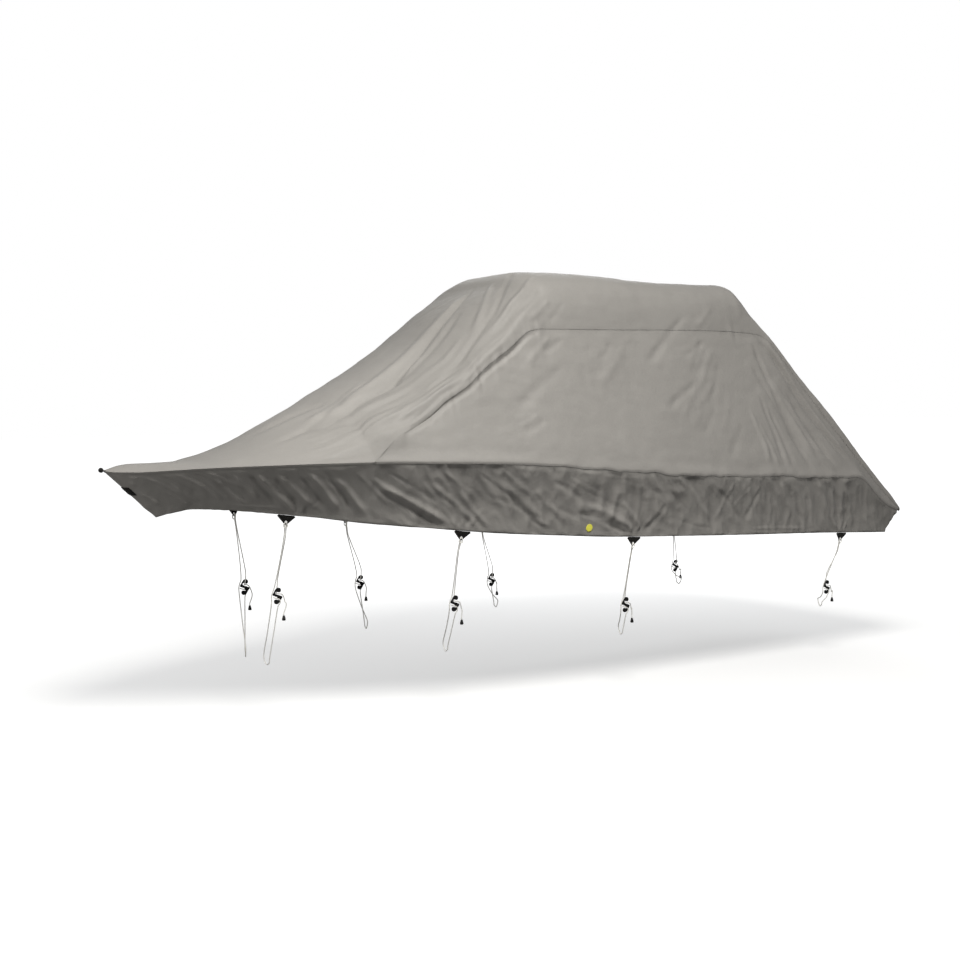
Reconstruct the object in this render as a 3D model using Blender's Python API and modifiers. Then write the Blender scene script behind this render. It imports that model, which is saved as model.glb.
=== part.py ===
"""Fitted cover for a boat with a raised hard top, as it hangs over the boat, which is left out.
A middle panel runs from the bow over the top and down to the stern, two side panels fill the flanks, and a skirt
goes all the way round below the rail; rope ties with hooks hang from triangular tabs on the hem. The middle panel is
one cloth, made here as eight lengths a little apart, and each side panel one cloth, made as four, so that collision
follows the hollow.
Lengths are in metres. The tables are in the boat's frame (x from bow to stern, y to starboard, z above the ground);
everything is moved so that the origin lies on the underside of the roof."""
import math

import bmesh
import bpy
import numpy as np
from mathutils import Vector

for ob in list(bpy.data.objects):
    bpy.data.objects.remove(ob)

# ---- outline of the cover, metres, x from bow to stern, z above the ground the trailer would stand on ----
# rail line (the crease over the boat's rubbing strake): x, half breadth, height
RAIL = [
    (-4.570, 0.035, 1.846), (-4.545, 0.056, 1.842), (-4.500, 0.089, 1.838), (-4.400, 0.172, 1.836), (-4.200, 0.330, 1.846),
    (-4.000, 0.470, 1.857), (-3.700, 0.650, 1.866), (-3.300, 0.840, 1.872), (-2.900, 0.980, 1.873), (-2.500, 1.080, 1.861),
    (-2.000, 1.155, 1.841), (-1.500, 1.190, 1.806), (-1.000, 1.205, 1.752), (-0.300, 1.210, 1.688), (0.500, 1.205, 1.640),
    (1.200, 1.190, 1.600), (1.720, 1.165, 1.568), (1.860, 1.158, 1.475), (2.000, 1.150, 1.365), (2.120, 1.146, 1.300),
    (2.250, 1.140, 1.250),
]
# hem below each rail station: x of rail, x of hem, half breadth, height
HEM = [
    (-4.570, -4.205, 0.014, 1.505), (-4.545, -4.192, 0.023, 1.511), (-4.500, -4.165, 0.042, 1.520), (-4.400, -4.105, 0.085, 1.537),
    (-4.200, -3.985, 0.160, 1.556), (-4.000, -3.830, 0.262, 1.549), (-3.700, -3.585, 0.405, 1.523), (-3.300, -3.250, 0.585, 1.479),
    (-2.900, -2.885, 0.745, 1.421), (-2.500, -2.495, 0.880, 1.375), (-2.000, -2.000, 0.990, 1.314), (-1.500, -1.500, 1.060, 1.268),
    (-1.000, -1.000, 1.092, 1.225), (-0.300, -0.300, 1.120, 1.185), (0.500, 0.500, 1.132, 1.143), (1.200, 1.200, 1.127, 1.108),
    (1.720, 1.690, 1.113, 1.078), (1.860, 1.815, 1.108, 1.070), (2.000, 1.935, 1.102, 1.062), (2.120, 2.035, 1.098, 1.056),
    (2.250, 2.120, 1.092, 1.050),
]
# seam between the middle panel and a side panel: x, half breadth, height
XJ = -2.960
SEAM = [
    (-2.960, 0.962, 1.873), (-2.845, 0.966, 1.988), (-2.670, 0.960, 2.096), (-2.501, 0.956, 2.192), (-2.362, 0.951, 2.290),
    (-2.181, 0.949, 2.391), (-2.014, 0.936, 2.525), (-1.779, 0.921, 2.674), (-1.584, 0.907, 2.803), (-1.479, 0.901, 2.817),
    (-0.893, 0.893, 2.819), (-0.297, 0.893, 2.825), (0.200, 0.891, 2.825), (0.659, 0.874, 2.812), (0.834, 0.864, 2.788),
    (0.945, 0.877, 2.699), (1.240, 0.930, 2.360), (1.520, 0.998, 2.020), (1.720, 1.045, 1.790), (1.900, 1.090, 1.585),
    (2.060, 1.120, 1.410), (2.160, 1.134, 1.318), (2.250, 1.140, 1.250),
]
# middle panel: x, height on the centre line, squareness across, squareness down, lean of its flanks
TOP = [
    (-4.570, 1.852, 2.0, 1.00, 0.00), (-4.545, 1.860, 2.0, 1.00, 0.00), (-4.470, 1.881, 2.0, 1.00, 0.00), (-4.400, 1.890, 2.0, 1.00, 0.00), (-4.200, 1.893, 2.2, 1.00, 0.00),
    (-4.000, 1.894, 2.2, 1.00, 0.00), (-3.850, 1.929, 2.0, 1.00, 0.00), (-3.700, 1.977, 1.9, 1.00, 0.00), (-3.500, 2.060, 1.9, 1.00, 0.00), (-3.300, 2.163, 2.0, 1.00, 0.00),
    (-3.100, 2.263, 2.1, 1.00, 0.00), (-2.900, 2.366, 2.2, 1.05, 0.00), (-2.660, 2.482, 2.3, 1.15, 0.11), (-2.480, 2.584, 2.4, 1.20, 0.20), (-2.290, 2.692, 2.6, 1.30, 0.25),
    (-2.090, 2.823, 2.8, 1.45, 0.31), (-1.900, 2.953, 3.0, 1.60, 0.30), (-1.760, 3.046, 3.2, 1.90, 0.29), (-1.660, 3.104, 3.4, 2.20, 0.29), (-1.540, 3.178, 3.7, 2.80, 0.28),
    (-1.440, 3.252, 4.0, 3.40, 0.28), (-1.310, 3.300, 4.3, 4.00, 0.27), (-1.160, 3.304, 4.5, 4.50, 0.27), (-0.920, 3.298, 4.5, 4.50, 0.27), (-0.650, 3.288, 4.5, 4.50, 0.27),
    (-0.400, 3.275, 4.5, 4.50, 0.27), (-0.200, 3.263, 4.5, 4.50, 0.27), (0.050, 3.253, 4.5, 4.50, 0.27), (0.350, 3.250, 4.5, 4.50, 0.26), (0.585, 3.246, 5.5, 5.50, 0.24),
    (0.640, 3.212, 5.5, 5.50, 0.23), (0.760, 3.035, 5.0, 5.00, 0.19), (0.860, 2.921, 4.5, 4.50, 0.15), (0.960, 2.790, 4.8, 4.80, 0.12), (1.240, 2.481, 4.8, 4.80, 0.00),
    (1.520, 2.185, 4.8, 4.80, 0.00), (1.720, 1.949, 4.8, 4.80, 0.00), (1.900, 1.733, 4.5, 4.50, 0.00), (2.060, 1.549, 4.2, 4.20, 0.00), (2.160, 1.439, 4.0, 4.00, 0.00),
    (2.250, 1.318, 3.0, 3.00, 0.00),
]
STERN = 2.250      # last station
STERN_ROUND = 0.05 # how far the stern edge bows out on the centre line
BOW_ROUND = 0.008


def table(rows):
    """Smooth curve through the rows of a table whose first column is x."""
    t = np.array(rows, float)
    x = t[:, 0]
    m = np.zeros_like(t)
    for k in range(1, t.shape[1]):
        d = np.diff(t[:, k]) / np.diff(x)
        m[0, k], m[-1, k] = d[0], d[-1]
        for i in range(1, len(x) - 1):
            if d[i - 1] * d[i] > 0:
                a, b = 2 * (x[i + 1] - x[i]) + (x[i] - x[i - 1]), (x[i + 1] - x[i]) + 2 * (x[i] - x[i - 1])
                m[i, k] = (a + b) / (a / d[i - 1] + b / d[i])

    def at(q):
        q = np.clip(np.asarray(q, float), x[0], x[-1])
        i = np.clip(np.searchsorted(x, q, side="right") - 1, 0, len(x) - 2)
        h = (x[i + 1] - x[i])[..., None]
        s = (q - x[i])[..., None] / h
        return ((2 * s**3 - 3 * s**2 + 1) * t[i] + (s**3 - 2 * s**2 + s) * h * m[i] + (3 * s**2 - 2 * s**3) * t[i + 1] + (s**3 - s**2) * h * m[i + 1])[..., 1:]

    return at


rail, hem, seam, top = table(RAIL), table(HEM), table(SEAM), table(TOP)


def smooth(s):
    s = np.clip(s, 0.0, 1.0)
    return s * s * (3 - 2 * s)


def section(x, c):
    """Half section at one x. c runs 0..1 from the centre line to the seam (or the rail ahead of it), 1..2 from the seam to the rail."""
    c = np.asarray(c, float)
    yr, zr = rail(x)
    ye, ze = seam(x) if x >= XJ else (yr, zr)
    zc, n, m, lean = top(x)
    s = np.linspace(0, 1, 161)
    u = 1 - (1 - s) ** 3
    z = ze + (zc - ze) * np.clip(1 - u**n, 0, 1) ** (1 / m)
    y = u * (ye - lean * (z - ze))
    run = np.concatenate([[0], np.cumsum(np.hypot(np.diff(y), np.diff(z)))])
    a = np.clip(c, 0, 1) * run[-1]
    yy, zz = np.interp(a, run, y), np.interp(a, run, z)
    t = np.clip(c - 1, 0, 1)
    dip = 0.022 * np.sin(np.pi * t) * min(1.0, max(0.0, (ze - zr) / 0.9))
    return np.where(c > 1, ye + (yr - ye) * t - dip, yy), np.where(c > 1, ze + (zr - ze) * t, zz)


def stern_bow(P):
    """Bows the stern and the tip of the bow outwards in plan."""
    P = np.array(P, float)
    w = np.clip((P[..., 0] - 1.2) / (STERN - 1.2), 0, 1.1) ** 2
    P[..., 0] += STERN_ROUND * w * np.clip(1 - (P[..., 1] / 1.15) ** 2, 0, 1)
    return P


def top_row(x, c):
    """Points of the top at station x for signed c (port is negative y)."""
    c = np.asarray(c, float)
    y, z = section(x, np.abs(c))
    return stern_bow(np.stack([np.full(c.shape, float(x)), np.sign(c) * y, z], -1))


def top_normal(x, c):
    """Outward normal of the bare top at station x."""
    c = np.asarray(c, float)
    e = 0.006
    xa, xb = max(x - e, -4.57), min(x + e, STERN)
    lim = 2.0 if x > XJ + e else 1.0
    dx = (top_row(xb, c) - top_row(xa, c)) / (xb - xa)
    ca, cb = np.clip(c - 0.012, -lim, lim), np.clip(c + 0.012, -lim, lim)
    dc = top_row(x, cb) - top_row(x, ca)
    n = np.cross(dx, dc)
    return n / np.maximum(np.linalg.norm(n, axis=-1, keepdims=True), 1e-12)


def skirt_line(x, side, v):
    """Points down the skirt from the rail (v 0) to the hem (v 1) at rail station x."""
    v = np.asarray(v, float)
    yr, zr = rail(x)
    xh, yh, zh = hem(x)
    P = np.stack([x + (xh - x) * v, side * (yr + (yh - yr) * v - 0.010 * np.sin(np.pi * v) * smooth((x + 4.2) / 0.8)), zr + (zh - zr) * v], -1)
    return stern_bow(P)


# ---- folds: name, then x and position of three points, half width, height (all metres; position is c on the top, v on the skirt) ----
TOP_FOLDS = [
    ("front_trough_a", -1.45, -0.02, -1.97, -0.29, -2.34, -0.45, 0.060, -0.026),
    ("front_trough_b", -2.34, -0.45, -2.67, -0.57, -3.01, -0.61, 0.065, -0.024),
    ("front_ridge_a", -1.84, -0.12, -2.41, -0.35, -2.94, -0.38, 0.085, 0.018),
    ("corner_ridge_a", -1.40, -0.74, -1.65, -0.88, -1.88, -0.93, 0.055, 0.016),
    ("corner_ridge_b", -1.88, -0.93, -2.38, -0.94, -3.04, -0.83, 0.060, 0.016),
    ("seam_valley_a", -1.48, -1.00, -1.77, -1.01, -2.12, -1.01, 0.050, -0.020),
    ("seam_valley_b", -2.12, -1.01, -2.49, -1.01, -2.90, -0.98, 0.050, -0.016),
    ("front_trough_c", -2.96, -0.25, -3.19, -0.16, -3.61, -0.04, 0.070, -0.014),
    ("foot_ridge", -3.04, -0.83, -3.24, -0.87, -3.53, -0.84, 0.060, 0.010),
    ("side_trough_a", -1.20, -1.20, -1.60, -1.43, -1.95, -1.58, 0.090, -0.016),
    ("side_ridge_a", -0.69, -1.11, -0.84, -1.25, -1.07, -1.45, 0.080, 0.012),
    ("side_trough_b", 0.05, -1.04, -0.29, -1.12, -0.60, -1.32, 0.070, -0.014),
    ("side_trough_c", 0.10, -1.22, -0.21, -1.46, -0.40, -1.60, 0.060, -0.014),
    ("aft_trough_a", 0.90, -1.08, 1.18, -1.22, 1.73, -1.65, 0.055, -0.020),
    ("aft_trough_b", 0.70, -1.12, 0.87, -1.45, 1.11, -1.84, 0.055, -0.016),
    ("aft_ridge_a", 0.77, -1.31, 1.02, -1.53, 1.22, -1.88, 0.055, 0.014),
    ("aft_trough_c", 1.01, -1.31, 1.24, -1.52, 1.42, -1.88, 0.050, -0.014),
    # far side, unseen: the same kind of folds, spaced a little differently
    ("far_front_trough_a", -1.47, 0.12, -1.90, 0.34, -2.30, 0.48, 0.065, -0.022),
    ("far_front_trough_b", -2.30, 0.48, -2.70, 0.60, -3.05, 0.66, 0.065, -0.020),
    ("far_corner_ridge_a", -1.42, 0.78, -1.68, 0.88, -1.95, 0.92, 0.055, 0.014),
    ("far_corner_ridge_b", -1.95, 0.92, -2.42, 0.93, -2.98, 0.85, 0.060, 0.014),
    ("far_seam_valley", -1.52, 1.00, -2.05, 1.01, -2.86, 0.98, 0.050, -0.016),
    ("far_side_trough_a", -0.90, 1.16, -1.35, 1.42, -1.70, 1.66, 0.090, -0.015),
    ("far_side_trough_b", 0.20, 1.10, -0.12, 1.36, -0.34, 1.60, 0.070, -0.013),
    ("far_aft_trough_a", 0.92, 1.10, 1.25, 1.30, 1.66, 1.62, 0.055, -0.018),
    ("far_aft_trough_b", 0.74, 1.16, 0.93, 1.50, 1.08, 1.82, 0.055, -0.014),
    ("back_fold_a", 0.80, -0.35, 1.45, -0.30, 2.05, -0.20, 0.080, -0.016),
    ("back_fold_b", 0.82, 0.25, 1.40, 0.36, 2.00, 0.42, 0.080, -0.014),
]
SKIRT_FOLDS = [
    ("skirt_bow_a", -1, -3.97, 0.20, -3.89, 0.50, -3.79, 0.90, 0.045, 0.009),
    ("skirt_bow_b", -1, -3.71, 0.16, -3.61, 0.50, -3.46, 0.90, 0.050, 0.011),
    ("skirt_bow_c", -1, -3.39, 0.14, -3.26, 0.48, -3.12, 0.88, 0.050, 0.011),
    ("skirt_bow_d", -1, -3.20, 0.26, -3.09, 0.51, -2.94, 0.88, 0.045, -0.009),
    ("crease_to_tab_b", -1, -2.93, 0.34, -2.64, 0.63, -2.32, 0.96, 0.045, 0.012),
    ("crease_to_tab_b2", -1, -2.56, 0.28, -2.33, 0.63, -2.15, 0.94, 0.045, -0.011),
    ("crease_mid", -1, -2.04, 0.25, -1.80, 0.56, -1.59, 0.86, 0.050, 0.010),
    ("crease_to_tab_c", -1, -1.29, 0.52, -1.03, 0.64, -0.76, 0.96, 0.045, 0.012),
    ("crease_to_tab_c2", -1, -0.40, 0.46, -0.56, 0.74, -0.68, 0.94, 0.050, -0.009),
    ("vee_fore", -1, 0.02, 0.23, 0.20, 0.50, 0.34, 0.84, 0.045, -0.009),
    ("vee_aft", -1, 0.55, 0.22, 0.43, 0.50, 0.37, 0.84, 0.045, -0.008),
    ("stern_streak_a", -1, 0.76, 0.12, 0.86, 0.45, 1.02, 0.88, 0.045, 0.009),
    ("stern_streak_b", -1, 1.16, 0.10, 1.25, 0.40, 1.42, 0.92, 0.045, -0.010),
    ("far_bow_a", 1, -3.80, 0.16, -3.66, 0.52, -3.52, 0.88, 0.050, 0.010),
    ("far_bow_b", 1, -3.30, 0.18, -3.14, 0.52, -3.00, 0.88, 0.050, 0.010),
    ("far_crease_b", 1, -2.80, 0.30, -2.56, 0.62, -2.32, 0.94, 0.045, -0.011),
    ("far_crease_c", 1, -1.25, 0.45, -1.00, 0.66, -0.80, 0.94, 0.045, 0.011),
    ("far_streak", 1, 0.90, 0.14, 1.02, 0.50, 1.12, 0.88, 0.045, 0.009),
]

# ---- the cloth and how it is cut into faces ----
CLOTH = 0.0020      # thickness of the coated cloth
SEAM_GAP = 0.0010   # half of the gap between two panels at a seam
TURN = 0.020        # how far the panels turn down over the rail
TURN_GAP = 0.0018   # gap between that turned edge and the skirt
STATIONS = [-4.570, -4.545, -4.490, -4.400, -4.280, -4.140, -4.000, -3.860, -3.710, -3.555, -3.400, -3.250, -3.105, -2.960, -2.800, -2.640,
            -2.480, -2.320, -2.160, -2.010, -1.860, -1.710, -1.570, -1.460, -1.360, -1.240, -1.060, -0.820, -0.560, -0.300, -0.040,
            0.210, 0.430, 0.570, 0.640, 0.710, 0.820, 0.960, 1.120, 1.290, 1.460, 1.600, 1.720, 1.870, 2.010, 2.130, 2.250]
ACROSS = 20         # faces across the middle panel
SIDE_ROWS = 7       # faces down a side panel
SKIRT_ROWS = 5      # faces down the skirt
MOUNT_X = -0.300    # station of the mount under the roof
LENGTH_GAP = 0.0008 # half of the gap between two lengths of a panel
# lengths of the middle panel: name, first station, last station
LENGTHS = [
    ("middle_panel_bow", -4.570, -2.960),
    ("middle_panel_slope_low", -2.960, -2.010),
    ("middle_panel_slope_high", -2.010, -1.060),
    ("middle_panel_roof", -1.060, 0.430),
    ("middle_panel_edge", 0.430, 0.960),
    ("middle_panel_back_high", 0.960, 1.290),
    ("middle_panel_back_middle", 1.290, 1.720),
    ("middle_panel_back_low", 1.720, 2.250),
]
# lengths of each side panel: end of the name, first station, last station
SIDE_LENGTHS = [
    ("slope", -2.960, -1.460),
    ("roof", -1.460, 0.820),
    ("back_high", 0.820, 1.720),
    ("back_low", 1.720, 2.250),
]

# ---- hem tabs, ropes and hooks ----
TAB_X = (-3.431, -2.243, -0.774, 1.523)
TAB_WIDTH, TAB_DROP, TAB_THICK = 0.118, 0.072, 0.0030
TAB_GAP = 0.0022
TAB_HOLE = 0.0200   # diameter of the hole the doubled rope runs through
TAB_HOLE_UP = 0.0190
ROPE_D = 0.0080
HOOK_THICK = 0.0110
# outline of the upper half of the S hook, mm: along the boat, up; the lower half is the same turned half round
HOOK_HALF = [
    (-33, 2), (-38, 9), (-36, 17), (-27, 28), (-19, 41), (-11, 53), (0, 59), (12, 60), (23, 55), (28, 45), (27, 33), (19, 24.5),
    (8, 25.5), (-3, 29), (-12, 31.5), (-18, 28), (-17, 20), (-7, 11.5), (4, 8), (16, 4.5), (26, -2),
]
# the hitch at the tab, mm: along the boat, down from the hole, outwards; the left half, up to the middle of the bar
HITCH = [
    (-4.8, 110.0, 1.0), (-4.8, 62.0, 0.5), (-4.8, 40.0, -0.5), (-4.8, 28.0, -3.0), (-4.7, 20.0, -6.6), (-4.5, 12.0, -7.4), (-4.3, 4.5, -6.9),
    (-4.3, -0.6, -4.2), (-4.3, -2.2, 0.0), (-4.6, -0.6, 4.2), (-6.6, 4.0, 7.1), (-10.5, 11.0, 8.3), (-13.5, 20.0, 8.8), (-12.6, 29.0, 9.8),
    (-7.5, 35.0, 11.2), (0.0, 37.0, 12.0),
]
# the rope at the hook, mm: along the boat, up, outwards. From its fixed end over the lower half, past the left end, and from the tab to the free end
LOWER_RUN = [(-36, -7.5, 6.5), (-26, -11.5, 10.9), (-10, -16.5, 11.2), (5, -22.5, 11.3), (15, -31, 11.4), (17, -42, 11.2), (10, -58, 9), (2, -72, 4), (-1, -88, 0)]
PAST_RUN = [(-47, -42, -1), (-47.5, -3, 1), (-40, 28, 3), (-28, 54, 4)]
UPPER_RUN = [(7, 120, -6), (6, 88, -10.5), (4, 62, -12), (1, 46, -12.6), (-3, 34, -12.6), (-4.5, 27, -11.8), (-5, 21.5, -8), (-4.5, 19, -1), (-1, 17.6, 6), (8, 16, 11.4), (22, 15, 12.2), (38, 4, 9.5), (49, -20, 5), (57, -46, 2)]
# per tie: hook centre, foot of the loop at the front of the beam, foot at its back, bend of the free end, tip of the free end
TIES = [
    ((-3.431, -0.300, 0.904), (-3.474, -0.225, 0.400), (-3.492, -0.165, 0.425), (-3.372, -0.310, 0.840), (-3.390, -0.310, 0.722)),
    ((-2.208, -0.755, 0.785), (-2.222, -0.665, 0.420), (-2.226, -0.605, 0.445), (-2.152, -0.760, 0.728), (-2.154, -0.760, 0.622)),
    ((-0.756, -0.965, 0.660), (-0.759, -0.930, 0.425), (-0.756, -0.870, 0.450), (-0.700, -0.970, 0.625), (-0.698, -0.970, 0.512)),
    ((1.464, -1.000, 0.604), (1.444, -0.965, 0.440), (1.456, -0.905, 0.462), (1.532, -1.000, 0.562), (1.530, -1.000, 0.470)),
]
END_D, END_L = 0.0270, 0.0360
PATCH_D, PATCH_T, PATCH_X, PATCH_V = 0.058, 0.0012, -1.205, 0.872
BOW_TAB_V = (0.34, 0.52)

COLOURS = {
    "cloth": ((0.36, 0.345, 0.325, 1.0), 0.85, 0.0),
    "webbing": ((0.016, 0.015, 0.013, 1.0), 0.80, 0.0),
    "rope": ((0.80, 0.78, 0.72, 1.0), 0.75, 0.0),
    "hook": ((0.012, 0.012, 0.012, 1.0), 0.45, 0.0),
    "patch": ((0.48, 0.46, 0.09, 1.0), 0.55, 0.0),
}


def top_fold_lines():
    out = []
    for name, x0, c0, x1, c1, x2, c2, width, height in TOP_FOLDS:
        t = np.linspace(0, 1, 17)
        x = np.interp(t, [0, 0.5, 1], [x0, x1, x2])
        c = np.interp(t, [0, 0.5, 1], [c0, c1, c2])
        out.append((np.array([top_row(a, np.array([b]))[0] for a, b in zip(x, c)]), width, height))
    return out


def skirt_fold_lines():
    out = []
    for name, side, x0, v0, x1, v1, x2, v2, width, height in SKIRT_FOLDS:
        t = np.linspace(0, 1, 13)
        x = np.interp(t, [0, 0.5, 1], [x0, x1, x2])
        v = np.interp(t, [0, 0.5, 1], [v0, v1, v2])
        out.append((np.array([skirt_line(a, side, np.array([b]))[0] for a, b in zip(x, v)]), width, height))
    return out


def relief(P, lines):
    """Height of the folds at points P."""
    P = np.asarray(P, float)
    flat = P.reshape(-1, 3)
    h = np.zeros(len(flat))
    for line, width, height in lines:
        a, b = line[:-1], line[1:]
        d = b - a
        near = np.all((flat > line.min(0) - 3 * width) & (flat < line.max(0) + 3 * width), axis=1)
        if not near.any():
            continue
        q = flat[near]
        t = np.clip(((q[:, None] - a[None]) * d[None]).sum(-1) / (d * d).sum(-1)[None], 0, 1)
        r = np.linalg.norm(q[:, None] - (a[None] + d[None] * t[..., None]), axis=-1)
        k = r.argmin(1)
        s = (k + t[np.arange(len(k)), k]) / len(a)
        taper = smooth(s / 0.25) * smooth((1 - s) / 0.25)
        h[near] += height * taper * np.exp(-((r[np.arange(len(k)), k] / width) ** 2))
    return h.reshape(P.shape[:-1])


def sag(P):
    """Slow unevenness of hanging cloth."""
    x, y, z = P[..., 0], P[..., 1], P[..., 2]
    return 0.004 * np.sin(3.1 * x + 1.7 * y + 0.6) * np.sin(2.3 * y - 1.9 * z + 1.1) + 0.003 * np.sin(6.1 * x - 3.7 * z + 0.4 * y)


TOP_LINES, SKIRT_LINES = top_fold_lines(), skirt_fold_lines()


def top_surface(x, c):
    """Points of the top with its folds at station x."""
    P, N = top_row(x, c), top_normal(x, c)
    yr, zr = rail(x)
    edge = np.hypot(np.abs(P[..., 1]) - yr, P[..., 2] - zr)
    w = smooth(edge / 0.11) * smooth((x + 4.57) / 0.25) * smooth((STERN - x) / 0.14)
    return P + N * ((relief(P, TOP_LINES) + sag(P)) * w)[..., None]


def collection(name):
    c = bpy.data.collections.new(name)
    bpy.context.scene.collection.children.link(c)
    return c


def material(slot):
    m = bpy.data.materials.get(slot)
    if m is None:
        m = bpy.data.materials.new(slot)
        m.use_nodes = True
        b = m.node_tree.nodes["Principled BSDF"]
        colour, rough, metal = COLOURS[slot]
        b.inputs["Base Color"].default_value = colour
        b.inputs["Roughness"].default_value = rough
        b.inputs["Metallic"].default_value = metal
    return m


def add(name, mesh, slot, coll):
    ob = bpy.data.objects.new(name, mesh)
    coll.objects.link(ob)
    mesh.materials.append(material(slot))
    return ob


def between(ia, ca, ib, cb):
    """Faces between two rows of vertices whose positions across are ca and cb (quads where both have the same positions)."""
    faces = []
    if len(ia) == len(ib):
        return [(ia[k], ia[k + 1], ib[k + 1], ib[k]) for k in range(len(ia) - 1)]
    i = j = 0
    while i < len(ia) - 1 or j < len(ib) - 1:
        if j == len(ib) - 1 or (i < len(ia) - 1 and ca[i + 1] + ca[i] <= cb[j + 1] + cb[j]):
            faces.append((ia[i], ia[i + 1], ib[j]))
            i += 1
        else:
            faces.append((ia[i], ib[j + 1], ib[j]))
            j += 1
    return faces


def cloth(name, verts, faces, coll):
    """A sheet of cloth of real thickness from its outer face."""
    me = bpy.data.meshes.new(name)
    me.from_pydata([tuple(np.asarray(v) - ORIGIN) for v in verts], [], faces)
    me.update()
    ob = add(name, me, "cloth", coll)
    mod = ob.modifiers.new("thickness", "SOLIDIFY")
    mod.thickness = CLOTH
    mod.offset = -1.0
    mod.use_even_offset = True
    mod.use_rim = True
    return ob


ORIGIN = np.array([MOUNT_X, 0.0, float(top_surface(MOUNT_X, np.array([0.0]))[0][2]) - CLOTH])

# positions across the middle panel at each station: few at the narrow tip of the bow
FULL = np.linspace(-1, 1, ACROSS + 1)


def across(k):
    if k == 0:
        return np.array([-1.0, 0.0, 1.0])
    if k == 1:
        return np.array([-1.0, -0.5, 0.0, 0.5, 1.0])
    if k == 2:
        return np.linspace(-1, 1, 9)
    return FULL


def middle_rows():
    rows = []
    for k, x in enumerate(STATIONS):
        c = across(k)
        P = top_surface(x, c)
        if k == 0:
            P[:, 0] -= BOW_ROUND * (1 - c * c)
        if XJ + 1e-6 < x < STERN - 1e-6:
            # the seam edge stands back from the side panel
            for e, i in ((0, 1), (-1, -2)):
                step = P[i] - P[e]
                P[e] = P[e] + step / np.linalg.norm(step) * SEAM_GAP
        rows.append((c, P))
    return rows


MIDDLE = middle_rows()
KJ = STATIONS.index(XJ)


def rail_point(x, side):
    yr, zr = rail(x)
    return stern_bow(np.array([x, side * yr, zr]))


def hem_point(x, side):
    return skirt_line(x, side, np.array([1.0]))[0]


def perimeter():
    """The rail all the way round, from the middle of the bow down the port side, across the stern and back: rail point, hem point, station, side."""
    loop = []
    c0, P0 = MIDDLE[0]
    stem_hem = np.array([hem(-4.57)[0] - 0.010, 0.0, hem(-4.57)[2] - 0.002])
    loop.append((P0[1], stem_hem, STATIONS[0], 0))
    for side in (-1, 1):
        run = []
        for k, x in enumerate(STATIONS):
            p = (P0[0] if side < 0 else P0[-1]) if k == 0 else rail_point(x, side)
            run.append((p, hem_point(x, side), x, side))
        if side < 0:
            port = run
        else:
            starboard = run
    stern = []
    c, P = MIDDLE[-1]
    for k in range(1, len(c) - 1):
        q = P[k]
        y = q[1] * 1.092 / 1.140
        h = np.array([2.120 + STERN_ROUND * 0.95 * (1 - (y / 1.15) ** 2), y, 1.050 - 0.004 * math.sin(3 * math.pi * (k / len(c)))])
        stern.append((q, h, STERN, 0))
    return loop + port + stern + starboard[::-1]


LOOP = perimeter()


def drop(entry, length):
    p, h = entry[0], entry[1]
    d = h - p
    return p + d / np.linalg.norm(d) * length


def middle_panel(coll):
    """The lengths of the middle panel, with its edge turned down round the bow and across the stern."""
    n = len(STATIONS)
    for name, first, last in LENGTHS:
        k0, k1 = STATIONS.index(first), STATIONS.index(last)
        verts, faces, rows = [], [], []
        for k in range(k0, k1 + 1):
            c, P = MIDDLE[k]
            P = P.copy()
            for at, other in ((k0, k0 + 1), (k1, k1 - 1)):
                if k == at and 0 < k < n - 1:
                    step = MIDDLE[other][1] - P if len(MIDDLE[other][0]) == len(c) else None
                    P = P + step / np.linalg.norm(step, axis=-1, keepdims=True) * LENGTH_GAP
            rows.append((list(range(len(verts), len(verts) + len(P))), c))
            verts += list(P)
        for (ia, ca), (ib, cb) in zip(rows, rows[1:]):
            faces += between(ia, ca, ib, cb)
        chains = []
        if k0 == 0:
            chain = [rows[k][0][-1] for k in range(k1, 0, -1)] + rows[0][0][::-1] + [rows[k][0][0] for k in range(1, k1 + 1)]
            chains.append((chain, [LOOP[-k] for k in range(k1 + 1, 0, -1)] + [LOOP[0]] + LOOP[1 : k1 + 2]))
        if k1 == n - 1:
            chains.append((rows[-1][0], LOOP[n : n + len(rows[-1][0])]))
        for chain, entries in chains:
            low = []
            for v, e in zip(chain, entries):
                low.append(len(verts))
                verts.append(drop(e, TURN) + (verts[v] - e[0] if v in (rows[-1][0][0], rows[-1][0][-1]) and k1 < n - 1 else 0.0))
            for k in range(len(chain) - 1):
                faces.append((chain[k], chain[k + 1], low[k + 1], low[k]))
        cloth(name, verts, faces, coll)


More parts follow.
